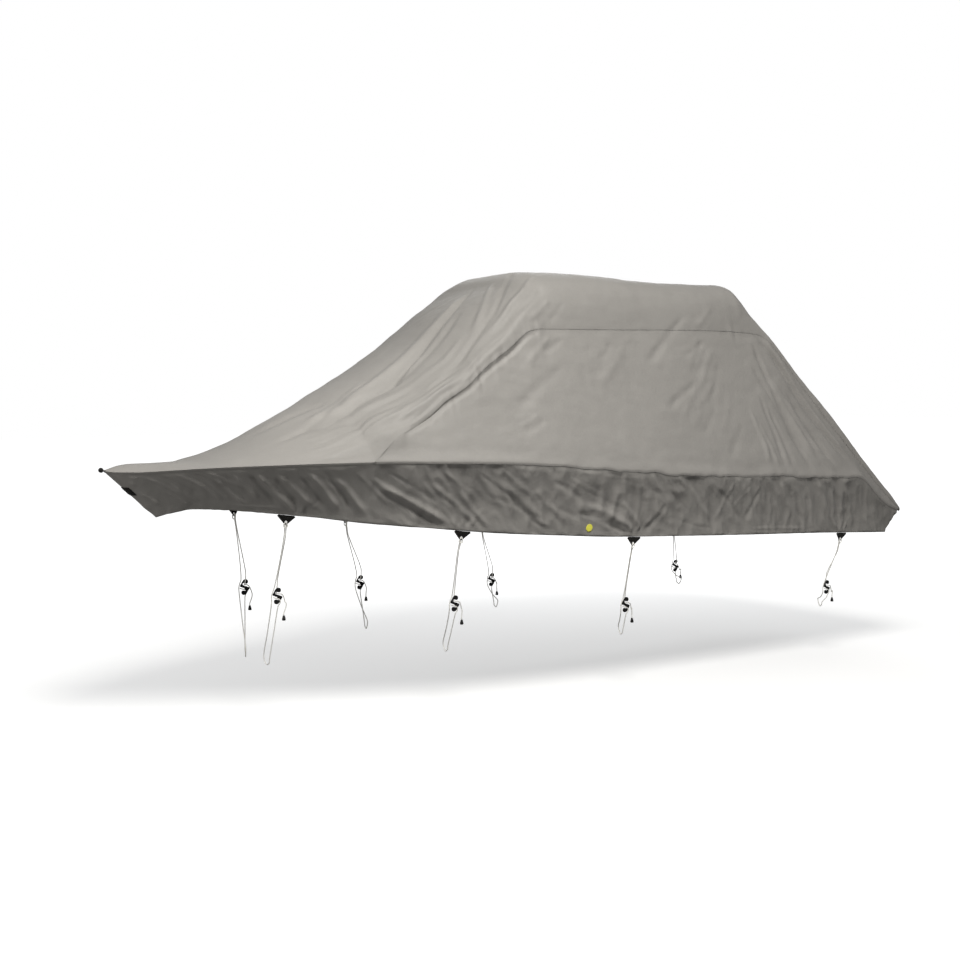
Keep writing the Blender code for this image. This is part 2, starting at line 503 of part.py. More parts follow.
def side_panel(name, side, coll):
    """The lengths of one side panel, with its lower edge turned down over the rail."""
    steps = np.linspace(0, 1, SIDE_ROWS + 1)

    def whole(k):
        x = STATIONS[k]
        P = top_surface(x, side * (1 + steps))
        P[-1] = rail_point(x, side)
        step = P[1] - P[0]
        P[0] = P[0] + step / np.linalg.norm(step) * SEAM_GAP
        return P

    for end, first, last in SIDE_LENGTHS:
        k0, k1 = STATIONS.index(first), STATIONS.index(last)
        verts, faces, rows, ends = [], [], [], []
        for k in range(k0, k1 + 1):
            x = STATIONS[k]
            entry = (rail_point(x, side), hem_point(x, side))
            if k in (KJ, len(STATIONS) - 1):
                # the point where the seam meets the rail
                near = STATIONS[k + 1] if k == KJ else STATIONS[k - 1]
                other = (rail_point(near, side), hem_point(near, side))
                P = (entry[0] * 0.91 + other[0] * 0.09)[None]
                ids, c = [len(verts)], [0.0 if k == KJ else 1.0]
                low = drop(entry, TURN) * 0.91 + drop(other, TURN) * 0.09
            else:
                P = whole(k)
                low = drop(entry, TURN)
                if k in (k0, k1):
                    q = k + 1 if k == k0 else k - 1
                    step = whole(q) - P
                    shift = step / np.linalg.norm(step, axis=-1, keepdims=True) * LENGTH_GAP
                    P = P + shift
                    low = low + shift[-1]
                ids, c = list(range(len(verts), len(verts) + len(P))), steps
            verts += list(P)
            rows.append((ids, c))
            ends.append(low)
        for (ia, ca), (ib, cb) in zip(rows, rows[1:]):
            if len(ia) == 1:
                faces += [(ia[0], ib[k + 1], ib[k]) for k in range(len(ib) - 1)]
            elif len(ib) == 1:
                faces += [(ia[k], ia[k + 1], ib[0]) for k in range(len(ia) - 1)]
            else:
                faces += between(ia, ca, ib, cb)
        chain = [r[0][-1] for r in rows]
        base = len(verts)
        verts += ends
        for k in range(len(chain) - 1):
            faces.append((chain[k], base + k, base + k + 1, chain[k + 1]))
        if side < 0:
            faces = [f[::-1] for f in faces]
        cloth(name + "_" + end, verts, faces, coll)


def skirt_grid():
    """Points of the skirt: one column per perimeter entry, SKIRT_ROWS + 1 rows."""
    n = len(LOOP)
    rows = np.linspace(0, 1, SKIRT_ROWS + 1)
    G = np.zeros((n, SKIRT_ROWS + 1, 3))
    for k, (p, h, x, side) in enumerate(LOOP):
        L = np.linalg.norm(h - p)
        v0 = (TURN + TURN_GAP) / L
        v = v0 + (1 - v0) * rows
        G[k] = p[None] * (1 - v[:, None]) + h[None] * v[:, None]
    # a slight tuck towards the hull, then folds along the outward normal
    nxt, prv = np.roll(G, -1, 0), np.roll(G, 1, 0)
    N = np.cross(np.gradient(G, axis=1), nxt - prv)
    N /= np.linalg.norm(N, axis=-1, keepdims=True)
    away = (N[..., :2] * (G[..., :2] - np.array([-0.9, 0.0]))).sum(-1).mean()
    if away < 0:
        N = -N
    fore = smooth((G[..., 0] + 4.15) / 0.5)
    tuck = -0.012 * np.sin(np.pi * rows)[None] * fore
    w = smooth(rows / 0.22)[None] * smooth((1 - rows) / 0.10)[None] * fore
    return G + N * (tuck + (relief(G, SKIRT_LINES) + 0.6 * sag(G)) * w)[..., None]


SKIRT = skirt_grid()


def skirt(coll):
    n, m = SKIRT.shape[:2]
    verts = [SKIRT[k, r] for k in range(n) for r in range(m)]
    faces = []
    for k in range(n):
        a, b = k * m, ((k + 1) % n) * m
        for r in range(m - 1):
            faces.append((a + r, a + r + 1, b + r + 1, b + r))
    return cloth("skirt", verts, faces, coll)


def plate(name, outline, holes, thick, frame, slot, coll):
    """A flat plate from a 2D outline with round holes; frame is (origin, u, v)."""
    cu = bpy.data.curves.new(name, "CURVE")
    cu.dimensions = "2D"
    cu.fill_mode = "BOTH"
    cu.extrude = thick / 2
    for pts in [outline] + [[(cx + r * math.cos(2 * math.pi * i / 12), cy + r * math.sin(2 * math.pi * i / 12)) for i in range(12)] for cx, cy, r in holes]:
        sp = cu.splines.new("POLY")
        sp.points.add(len(pts) - 1)
        for p, (a, b) in zip(sp.points, pts):
            p.co = (a, b, 0, 1)
        sp.use_cyclic_u = True
    return placed_curve(name, cu, frame, slot, coll)


def placed_curve(name, cu, frame, slot, coll):
    tmp = bpy.data.objects.new(name + "_tmp", cu)
    bpy.context.scene.collection.objects.link(tmp)
    bpy.context.view_layer.update()
    me = bpy.data.meshes.new_from_object(tmp.evaluated_get(bpy.context.evaluated_depsgraph_get()))
    bpy.data.objects.remove(tmp)
    bpy.data.curves.remove(cu)
    bm = bmesh.new()
    bm.from_mesh(me)
    bmesh.ops.remove_doubles(bm, verts=bm.verts, dist=0.00002)
    if frame is not None:
        o, u, v = [np.asarray(q, float) for q in frame]
        u = u / np.linalg.norm(u)
        v = v - u * np.dot(u, v)
        v = v / np.linalg.norm(v)
        w = np.cross(u, v)
        for vert in bm.verts:
            vert.co = Vector(tuple(o + u * vert.co.x + v * vert.co.y + w * vert.co.z - ORIGIN))
    bmesh.ops.recalc_face_normals(bm, faces=bm.faces)
    if bm.calc_volume(signed=True) < 0:
        bmesh.ops.reverse_faces(bm, faces=bm.faces)
    bm.to_mesh(me)
    bm.free()
    me.name = name
    me.materials.clear()
    return add(name, me, slot, coll)


def smooth_path(points, step):
    """Centripetal curve through the points, with points about `step` apart in bends and longer runs where it is straight."""
    P = [np.asarray(p, float) for p in points]
    P = [2 * P[0] - P[1]] + P + [2 * P[-1] - P[-2]]
    out = [P[1]]
    for i in range(1, len(P) - 2):
        p0, p1, p2, p3 = P[i - 1 : i + 3]
        t0 = 0.0
        t1 = t0 + max(np.linalg.norm(p1 - p0), 1e-6) ** 0.5
        t2 = t1 + max(np.linalg.norm(p2 - p1), 1e-6) ** 0.5
        t3 = t2 + max(np.linalg.norm(p3 - p2), 1e-6) ** 0.5
        L = np.linalg.norm(p2 - p1)
        u, v, w = (p1 - p0) / np.linalg.norm(p1 - p0), (p2 - p1) / L, (p3 - p2) / np.linalg.norm(p3 - p2)
        bend = math.acos(max(-1.0, min(1.0, float(u @ v)))) + math.acos(max(-1.0, min(1.0, float(v @ w))))
        n = max(1, min(int(round(L / step)), 4 if bend > 1.2 else 3 if bend > 0.5 else 2 if bend > 0.15 else 1))
        for k in range(1, n + 1):
            t = t1 + (t2 - t1) * k / n
            a1 = p0 * (t1 - t) / (t1 - t0) + p1 * (t - t0) / (t1 - t0)
            a2 = p1 * (t2 - t) / (t2 - t1) + p2 * (t - t1) / (t2 - t1)
            a3 = p2 * (t3 - t) / (t3 - t2) + p3 * (t - t2) / (t3 - t2)
            b1 = a1 * (t2 - t) / (t2 - t0) + a2 * (t - t0) / (t2 - t0)
            b2 = a2 * (t3 - t) / (t3 - t1) + a3 * (t - t1) / (t3 - t1)
            out.append(b1 * (t2 - t) / (t2 - t1) + b2 * (t - t1) / (t2 - t1))
    return out


def tube(name, path, diameter, slot, coll):
    cu = bpy.data.curves.new(name, "CURVE")
    cu.dimensions = "3D"
    cu.bevel_depth = diameter / 2
    cu.bevel_resolution = 2
    cu.use_fill_caps = True
    sp = cu.splines.new("POLY")
    sp.points.add(len(path) - 1)
    for p, q in zip(sp.points, path):
        q = np.asarray(q) - ORIGIN
        p.co = (q[0], q[1], q[2], 1)
    return placed_curve(name, cu, None, slot, coll)


def hem_at(x, side):
    """Point of the hem's outer edge, its direction aft, and the way the skirt runs down, at hem position x."""
    ks = range(1, 1 + len(STATIONS)) if side < 0 else range(len(LOOP) - 1, len(LOOP) - 1 - len(STATIONS), -1)
    pts = [SKIRT[k, -1] for k in ks]
    up = [SKIRT[k, -2] for k in ks]
    for i in range(len(pts) - 1):
        if pts[i][0] <= x <= pts[i + 1][0]:
            t = (x - pts[i][0]) / (pts[i + 1][0] - pts[i][0])
            p = pts[i] * (1 - t) + pts[i + 1] * t
            q = up[i] * (1 - t) + up[i + 1] * t
            a = pts[i + 1] - pts[i]
            return p, a / np.linalg.norm(a), (p - q) / np.linalg.norm(p - q)
    raise ValueError("no hem at %s" % x)


def tie(k, side, coll, number):
    """One tab with its rope, hook and cord end."""
    label = ("port" if side < 0 else "starboard") + "_%d" % number
    p, along, down = hem_at(TAB_X[k], side)
    hook, foot_f, foot_b, bend, tip = [np.array([v[0], -side * v[1] if side > 0 else v[1], v[2]]) for v in TIES[k]]
    pull = hook - p
    pull = pull - along * np.dot(pull, along)
    pull = pull / np.linalg.norm(pull)
    out = np.cross(along, pull)
    if out[1] * side < 0:
        out = -out
    o = p + pull * TAB_GAP - out * (CLOTH / 2)
    # the tab: a triangle with a blunt tip
    wide, dropd, nose = TAB_WIDTH / 2, TAB_DROP, 0.011
    outline = [(-wide, 0.0), (-wide, 0.006), (-nose, dropd - 0.004), (-nose + 0.004, dropd), (nose - 0.004, dropd), (nose, dropd - 0.004), (wide, 0.006), (wide, 0.0)]
    plate("tab_" + label, outline, [(0.0, dropd - TAB_HOLE_UP, TAB_HOLE / 2)], TAB_THICK, (o, along, pull), "webbing", coll)
    hole = o + pull * (dropd - TAB_HOLE_UP)
    up = np.array([0, 0, 1.0])
    a = np.array([1.0, 0, 0])        # along the boat, towards the stern
    w = np.array([0, float(side), 0])  # outwards
    outline = [(x / 1000, z / 1000) for x, z in HOOK_HALF] + [(-x / 1000, -z / 1000) for x, z in HOOK_HALF]
    plate("hook_" + label, outline, [], HOOK_THICK, (hook, a, up), "hook", coll)

    def at(q):
        return hook + (a * q[0] + up * q[1] + w * q[2]) / 1000

    def knot(q, s):
        return hole + (along * q[0] * s + pull * q[1] + out * q[2]) / 1000

    lower = [at(q) for q in LOWER_RUN]
    path = lower + [lower[-1] * 0.5 + (foot_f + up * 0.030) * 0.5, foot_f + up * 0.030, foot_f + up * 0.010 - w * 0.004,
                    (foot_f + foot_b) / 2 - up * 0.020, foot_b + up * 0.006 + w * 0.004, foot_b + up * 0.030]
    # up past the left end of the hook, a lark's head through the tab, and down behind the top of the hook
    path += [foot_b * 0.5 + at(PAST_RUN[0]) * 0.5] + [at(q) for q in PAST_RUN]
    path += [knot(q, 1) for q in HITCH] + [knot(q, -1) for q in HITCH[-2::-1]]
    path += [at(q) for q in UPPER_RUN]
    top, fall = tip + up * (END_L + 0.001), bend - up * 0.018 + a * 0.002
    path += [bend + up * 0.004 + a * 0.004, fall, (fall + top + up * 0.014) / 2, top + up * 0.014, top]
    tube("rope_" + label, smooth_path(path, 2.4 * ROPE_D), ROPE_D, "rope", coll)
    # the cord end, a little bell
    bm = bmesh.new()
    rings = [(0.0000, 0.80), (0.0035, 1.0), (0.0100, 0.97), (0.0290, 0.66), (0.0360, 0.52)]
    loops = []
    for z, s in rings:
        loops.append([bm.verts.new(tuple(tip - ORIGIN + np.array([END_D / 2 * s * math.cos(2 * math.pi * i / 12), END_D / 2 * s * math.sin(2 * math.pi * i / 12), z]))) for i in range(12)])
    for la, lb in zip(loops, loops[1:]):
        for i in range(12):
            bm.faces.new((la[i], la[(i + 1) % 12], lb[(i + 1) % 12], lb[i]))
    bm.faces.new(loops[0][::-1])
    bm.faces.new(loops[-1])
    me = bpy.data.meshes.new("cord_end_" + label)
    bm.to_mesh(me)
    bm.free()
    add("cord_end_" + label, me, "hook", coll)


def build():
    coll = collection("boat_cover")
    middle_panel(coll)
    side_panel("side_panel_port", -1, coll)
    side_panel("side_panel_starboard", 1, coll)
    skirt(coll)
    for side in (-1, 1):
        for k in range(len(TIES)):
            tie(k, side, coll, k + 1)
    patch(coll)
    bow_pieces(coll)


def patch(coll):
    """The plain round patch near the hem on the port side."""
    ks = list(range(1, 1 + len(STATIONS)))
    best = None
    for k in ks[:-1]:
        if SKIRT[k, -1][0] <= PATCH_X <= SKIRT[k + 1, -1][0]:
            t = (PATCH_X - SKIRT[k, -1][0]) / (SKIRT[k + 1, -1][0] - SKIRT[k, -1][0])
            A, B = SKIRT[k] * (1 - t) + SKIRT[k + 1] * t, SKIRT[k + 1] - SKIRT[k]
            best = (A, B[-1])
    A, u = best
    r = PATCH_V * SKIRT_ROWS
    i = int(r)
    q = A[i] * (1 - (r - i)) + A[i + 1] * (r - i)
    v = A[i + 1] - A[i]
    n = np.cross(u, v)
    n = n / np.linalg.norm(n)
    if n[1] > 0:
        n = -n
    # stand the disc just clear of the cloth under it
    high = 0.0
    for k in ks[:-1]:
        for row in (SKIRT_ROWS - 1, SKIRT_ROWS, SKIRT_ROWS - 2):
            for s in np.linspace(0, 1, 9):
                e = (SKIRT[k, row] * (1 - s) + SKIRT[k + 1, row] * s) - q
                if np.linalg.norm(e - n * np.dot(e, n)) < PATCH_D / 2 + 0.01:
                    high = max(high, float(np.dot(e, n)))
    o = q + n * (high + 0.0008 + PATCH_T / 2)
    circle = [(PATCH_D / 2 * math.cos(2 * math.pi * i / 24), PATCH_D / 2 * math.sin(2 * math.pi * i / 24)) for i in range(24)]
    plate("round_patch", circle, [], PATCH_T, (o, u, v), "patch", coll)


def bow_pieces(coll):
    """The webbing tab wrapped round the stem and the small loop at the tip of the bow."""
    n = len(LOOP)
    ks = [n - 2, n - 1, 0, 1, 2]
    rows = [BOW_TAB_V[0] + (BOW_TAB_V[1] - BOW_TAB_V[0]) * t for t in (0.0, 0.5, 1.0)]
    G = np.zeros((len(ks), 3, 3))
    for a, k in enumerate(ks):
        for b, v in enumerate(rows):
            r = v * SKIRT_ROWS
            i = int(r)
            G[a, b] = SKIRT[k, i] * (1 - (r - i)) + SKIRT[k, i + 1] * (r - i)
    N = np.zeros_like(G)
    for a in range(len(ks)):
        d = G[min(a + 1, len(ks) - 1)] - G[max(a - 1, 0)]
        v = G[a, -1] - G[a, 0]
        c = np.cross(v[None], d)
        N[a] = c / np.linalg.norm(c, axis=-1, keepdims=True)
    if np.dot(N[2, 1], np.array([-1.0, 0, -0.5])) < 0:
        N = -N
    G = G + N * 0.0045
    verts = [G[a, b] for a in range(len(ks)) for b in range(3)]
    faces = []
    for a in range(len(ks) - 1):
        for b in range(2):
            faces.append((a * 3 + b, a * 3 + b + 1, a * 3 + b + 4, a * 3 + b + 3))
    me = bpy.data.meshes.new("bow_tab")
    me.from_pydata([tuple(v - ORIGIN) for v in verts], [], faces)
    me.update()
    ob = add("bow_tab", me, "webbing", coll)
    mod = ob.modifiers.new("thickness", "SOLIDIFY")
    mod.thickness = 0.0030
    mod.offset = 1.0
    mod.use_even_offset = True
    # small loop at the tip
    tip = MIDDLE[0][1][1]
    bm = bmesh.new()
    bmesh.ops.create_cube(bm, size=1.0)
    for v in bm.verts:
        v.co = Vector((v.co.x * 0.032, v.co.y * 0.026, v.co.z * 0.036))
    bmesh.ops.bevel(bm, geom=bm.edges[:], offset=0.007, segments=2, affect="EDGES", profile=0.5)
    for v in bm.verts:
        v.co += Vector(tuple(tip + np.array([-0.0225, 0.0, 0.001]) - ORIGIN))
    me = bpy.data.meshes.new("bow_tip_loop")
    bm.to_mesh(me)
    bm.free()
    add("bow_tip_loop", me, "webbing", coll)


build()
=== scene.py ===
"""Looks of a fitted cover as it hangs over a boat with a raised hard top; the boat is left out.
Lengths are in metres. The tables are in the boat's frame (x from bow to stern, y to starboard, z above the ground);
ORIGIN is the same point as in the solids, on the underside of the roof.
Every cloth here is a thin sheet on the same surface as its solid, with its creases, gathers, seams and hems."""
import math

import bmesh
import bpy
import numpy as np
from mathutils import Matrix, Vector


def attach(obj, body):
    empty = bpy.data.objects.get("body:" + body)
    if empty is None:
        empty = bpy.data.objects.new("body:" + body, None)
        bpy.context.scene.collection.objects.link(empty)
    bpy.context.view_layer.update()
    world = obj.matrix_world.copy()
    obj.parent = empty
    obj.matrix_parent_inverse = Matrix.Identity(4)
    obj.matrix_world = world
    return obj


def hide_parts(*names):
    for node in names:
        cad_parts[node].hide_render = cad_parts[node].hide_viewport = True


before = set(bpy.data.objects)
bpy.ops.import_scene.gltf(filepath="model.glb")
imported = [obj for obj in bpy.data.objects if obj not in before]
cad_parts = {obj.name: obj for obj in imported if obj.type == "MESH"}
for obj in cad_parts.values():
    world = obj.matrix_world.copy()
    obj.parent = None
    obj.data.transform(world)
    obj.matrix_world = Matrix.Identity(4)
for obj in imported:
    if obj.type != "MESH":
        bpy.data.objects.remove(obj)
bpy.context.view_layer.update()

ORIGIN = np.array([-0.300, 0.0, 3.26269])

# ---- outline of the cover, metres, x from bow to stern, z above the ground the trailer would stand on ----
# rail line (the crease over the boat's rubbing strake): x, half breadth, height
RAIL = [
    (-4.570, 0.035, 1.846), (-4.545, 0.056, 1.842), (-4.500, 0.089, 1.838), (-4.400, 0.172, 1.836), (-4.200, 0.330, 1.846),
    (-4.000, 0.470, 1.857), (-3.700, 0.650, 1.866), (-3.300, 0.840, 1.872), (-2.900, 0.980, 1.873), (-2.500, 1.080, 1.861),
    (-2.000, 1.155, 1.841), (-1.500, 1.190, 1.806), (-1.000, 1.205, 1.752), (-0.300, 1.210, 1.688), (0.500, 1.205, 1.640),
    (1.200, 1.190, 1.600), (1.720, 1.165, 1.568), (1.860, 1.158, 1.475), (2.000, 1.150, 1.365), (2.120, 1.146, 1.300),
    (2.250, 1.140, 1.250),
]
# hem below each rail station: x of rail, x of hem, half breadth, height
HEM = [
    (-4.570, -4.205, 0.014, 1.505), (-4.545, -4.192, 0.023, 1.511), (-4.500, -4.165, 0.042, 1.520), (-4.400, -4.105, 0.085, 1.537),
    (-4.200, -3.985, 0.160, 1.556), (-4.000, -3.830, 0.262, 1.549), (-3.700, -3.585, 0.405, 1.523), (-3.300, -3.250, 0.585, 1.479),
    (-2.900, -2.885, 0.745, 1.421), (-2.500, -2.495, 0.880, 1.375), (-2.000, -2.000, 0.990, 1.314), (-1.500, -1.500, 1.060, 1.268),
    (-1.000, -1.000, 1.092, 1.225), (-0.300, -0.300, 1.120, 1.185), (0.500, 0.500, 1.132, 1.143), (1.200, 1.200, 1.127, 1.108),
    (1.720, 1.690, 1.113, 1.078), (1.860, 1.815, 1.108, 1.070), (2.000, 1.935, 1.102, 1.062), (2.120, 2.035, 1.098, 1.056),
    (2.250, 2.120, 1.092, 1.050),
]
# seam between the middle panel and a side panel: x, half breadth, height
XJ = -2.960
SEAM = [
    (-2.960, 0.962, 1.873), (-2.845, 0.966, 1.988), (-2.670, 0.960, 2.096), (-2.501, 0.956, 2.192), (-2.362, 0.951, 2.290),
    (-2.181, 0.949, 2.391), (-2.014, 0.936, 2.525), (-1.779, 0.921, 2.674), (-1.584, 0.907, 2.803), (-1.479, 0.901, 2.817),
    (-0.893, 0.893, 2.819), (-0.297, 0.893, 2.825), (0.200, 0.891, 2.825), (0.659, 0.874, 2.812), (0.834, 0.864, 2.788),
    (0.945, 0.877, 2.699), (1.240, 0.930, 2.360), (1.520, 0.998, 2.020), (1.720, 1.045, 1.790), (1.900, 1.090, 1.585),
    (2.060, 1.120, 1.410), (2.160, 1.134, 1.318), (2.250, 1.140, 1.250),
]
# middle panel: x, height on the centre line, squareness across, squareness down, lean of its flanks
TOP = [
    (-4.570, 1.852, 2.0, 1.00, 0.00), (-4.545, 1.860, 2.0, 1.00, 0.00), (-4.470, 1.881, 2.0, 1.00, 0.00), (-4.400, 1.890, 2.0, 1.00, 0.00), (-4.200, 1.893, 2.2, 1.00, 0.00),
    (-4.000, 1.894, 2.2, 1.00, 0.00), (-3.850, 1.929, 2.0, 1.00, 0.00), (-3.700, 1.977, 1.9, 1.00, 0.00), (-3.500, 2.060, 1.9, 1.00, 0.00), (-3.300, 2.163, 2.0, 1.00, 0.00),
    (-3.100, 2.263, 2.1, 1.00, 0.00), (-2.900, 2.366, 2.2, 1.05, 0.00), (-2.660, 2.482, 2.3, 1.15, 0.11), (-2.480, 2.584, 2.4, 1.20, 0.20), (-2.290, 2.692, 2.6, 1.30, 0.25),
    (-2.090, 2.823, 2.8, 1.45, 0.31), (-1.900, 2.953, 3.0, 1.60, 0.30), (-1.760, 3.046, 3.2, 1.90, 0.29), (-1.660, 3.104, 3.4, 2.20, 0.29), (-1.540, 3.178, 3.7, 2.80, 0.28),
    (-1.440, 3.252, 4.0, 3.40, 0.28), (-1.310, 3.300, 4.3, 4.00, 0.27), (-1.160, 3.304, 4.5, 4.50, 0.27), (-0.920, 3.298, 4.5, 4.50, 0.27), (-0.650, 3.288, 4.5, 4.50, 0.27),
    (-0.400, 3.275, 4.5, 4.50, 0.27), (-0.200, 3.263, 4.5, 4.50, 0.27), (0.050, 3.253, 4.5, 4.50, 0.27), (0.350, 3.250, 4.5, 4.50, 0.26), (0.585, 3.246, 5.5, 5.50, 0.24),
    (0.640, 3.212, 5.5, 5.50, 0.23), (0.760, 3.035, 5.0, 5.00, 0.19), (0.860, 2.921, 4.5, 4.50, 0.15), (0.960, 2.790, 4.8, 4.80, 0.12), (1.240, 2.481, 4.8, 4.80, 0.00),
    (1.520, 2.185, 4.8, 4.80, 0.00), (1.720, 1.949, 4.8, 4.80, 0.00), (1.900, 1.733, 4.5, 4.50, 0.00), (2.060, 1.549, 4.2, 4.20, 0.00), (2.160, 1.439, 4.0, 4.00, 0.00),
    (2.250, 1.318, 3.0, 3.00, 0.00),
]
STERN = 2.250      # last station
STERN_ROUND = 0.05 # how far the stern edge bows out on the centre line
BOW_ROUND = 0.008


def table(rows):
    """Smooth curve through the rows of a table whose first column is x."""
    t = np.array(rows, float)
    x = t[:, 0]
    m = np.zeros_like(t)
    for k in range(1, t.shape[1]):
        d = np.diff(t[:, k]) / np.diff(x)
        m[0, k], m[-1, k] = d[0], d[-1]
        for i in range(1, len(x) - 1):
            if d[i - 1] * d[i] > 0:
                a, b = 2 * (x[i + 1] - x[i]) + (x[i] - x[i - 1]), (x[i + 1] - x[i]) + 2 * (x[i] - x[i - 1])
                m[i, k] = (a + b) / (a / d[i - 1] + b / d[i])

    def at(q):
        q = np.clip(np.asarray(q, float), x[0], x[-1])
        i = np.clip(np.searchsorted(x, q, side="right") - 1, 0, len(x) - 2)
        h = (x[i + 1] - x[i])[..., None]
        s = (q - x[i])[..., None] / h
        return ((2 * s**3 - 3 * s**2 + 1) * t[i] + (s**3 - 2 * s**2 + s) * h * m[i] + (3 * s**2 - 2 * s**3) * t[i + 1] + (s**3 - s**2) * h * m[i + 1])[..., 1:]

    return at


rail, hem, seam, top = table(RAIL), table(HEM), table(SEAM), table(TOP)


def smooth(s):
    s = np.clip(s, 0.0, 1.0)
    return s * s * (3 - 2 * s)


def section(x, c):
    """Half section at one x. c runs 0..1 from the centre line to the seam (or the rail ahead of it), 1..2 from the seam to the rail."""
    c = np.asarray(c, float)
    yr, zr = rail(x)
    ye, ze = seam(x) if x >= XJ else (yr, zr)
    zc, n, m, lean = top(x)
    s = np.linspace(0, 1, 161)
    u = 1 - (1 - s) ** 3
    z = ze + (zc - ze) * np.clip(1 - u**n, 0, 1) ** (1 / m)
    y = u * (ye - lean * (z - ze))
    run = np.concatenate([[0], np.cumsum(np.hypot(np.diff(y), np.diff(z)))])
    a = np.clip(c, 0, 1) * run[-1]
    yy, zz = np.interp(a, run, y), np.interp(a, run, z)
    t = np.clip(c - 1, 0, 1)
    dip = 0.022 * np.sin(np.pi * t) * min(1.0, max(0.0, (ze - zr) / 0.9))
    return np.where(c > 1, ye + (yr - ye) * t - dip, yy), np.where(c > 1, ze + (zr - ze) * t, zz)


def stern_bow(P):
    """Bows the stern and the tip of the bow outwards in plan."""
    P = np.array(P, float)
    w = np.clip((P[..., 0] - 1.2) / (STERN - 1.2), 0, 1.1) ** 2
    P[..., 0] += STERN_ROUND * w * np.clip(1 - (P[..., 1] / 1.15) ** 2, 0, 1)
    return P


def top_row(x, c):
    """Points of the top at station x for signed c (port is negative y)."""
    c = np.asarray(c, float)
    y, z = section(x, np.abs(c))
    return stern_bow(np.stack([np.full(c.shape, float(x)), np.sign(c) * y, z], -1))


def top_normal(x, c):
    """Outward normal of the bare top at station x."""
    c = np.asarray(c, float)
    e = 0.006
    xa, xb = max(x - e, -4.57), min(x + e, STERN)
    lim = 2.0 if x > XJ + e else 1.0
    dx = (top_row(xb, c) - top_row(xa, c)) / (xb - xa)
    ca, cb = np.clip(c - 0.012, -lim, lim), np.clip(c + 0.012, -lim, lim)
    dc = top_row(x, cb) - top_row(x, ca)
    n = np.cross(dx, dc)
    return n / np.maximum(np.linalg.norm(n, axis=-1, keepdims=True), 1e-12)


def skirt_line(x, side, v):
    """Points down the skirt from the rail (v 0) to the hem (v 1) at rail station x."""
    v = np.asarray(v, float)
    yr, zr = rail(x)
    xh, yh, zh = hem(x)
    P = np.stack([x + (xh - x) * v, side * (yr + (yh - yr) * v - 0.010 * np.sin(np.pi * v) * smooth((x + 4.2) / 0.8)), zr + (zh - zr) * v], -1)
    return stern_bow(P)


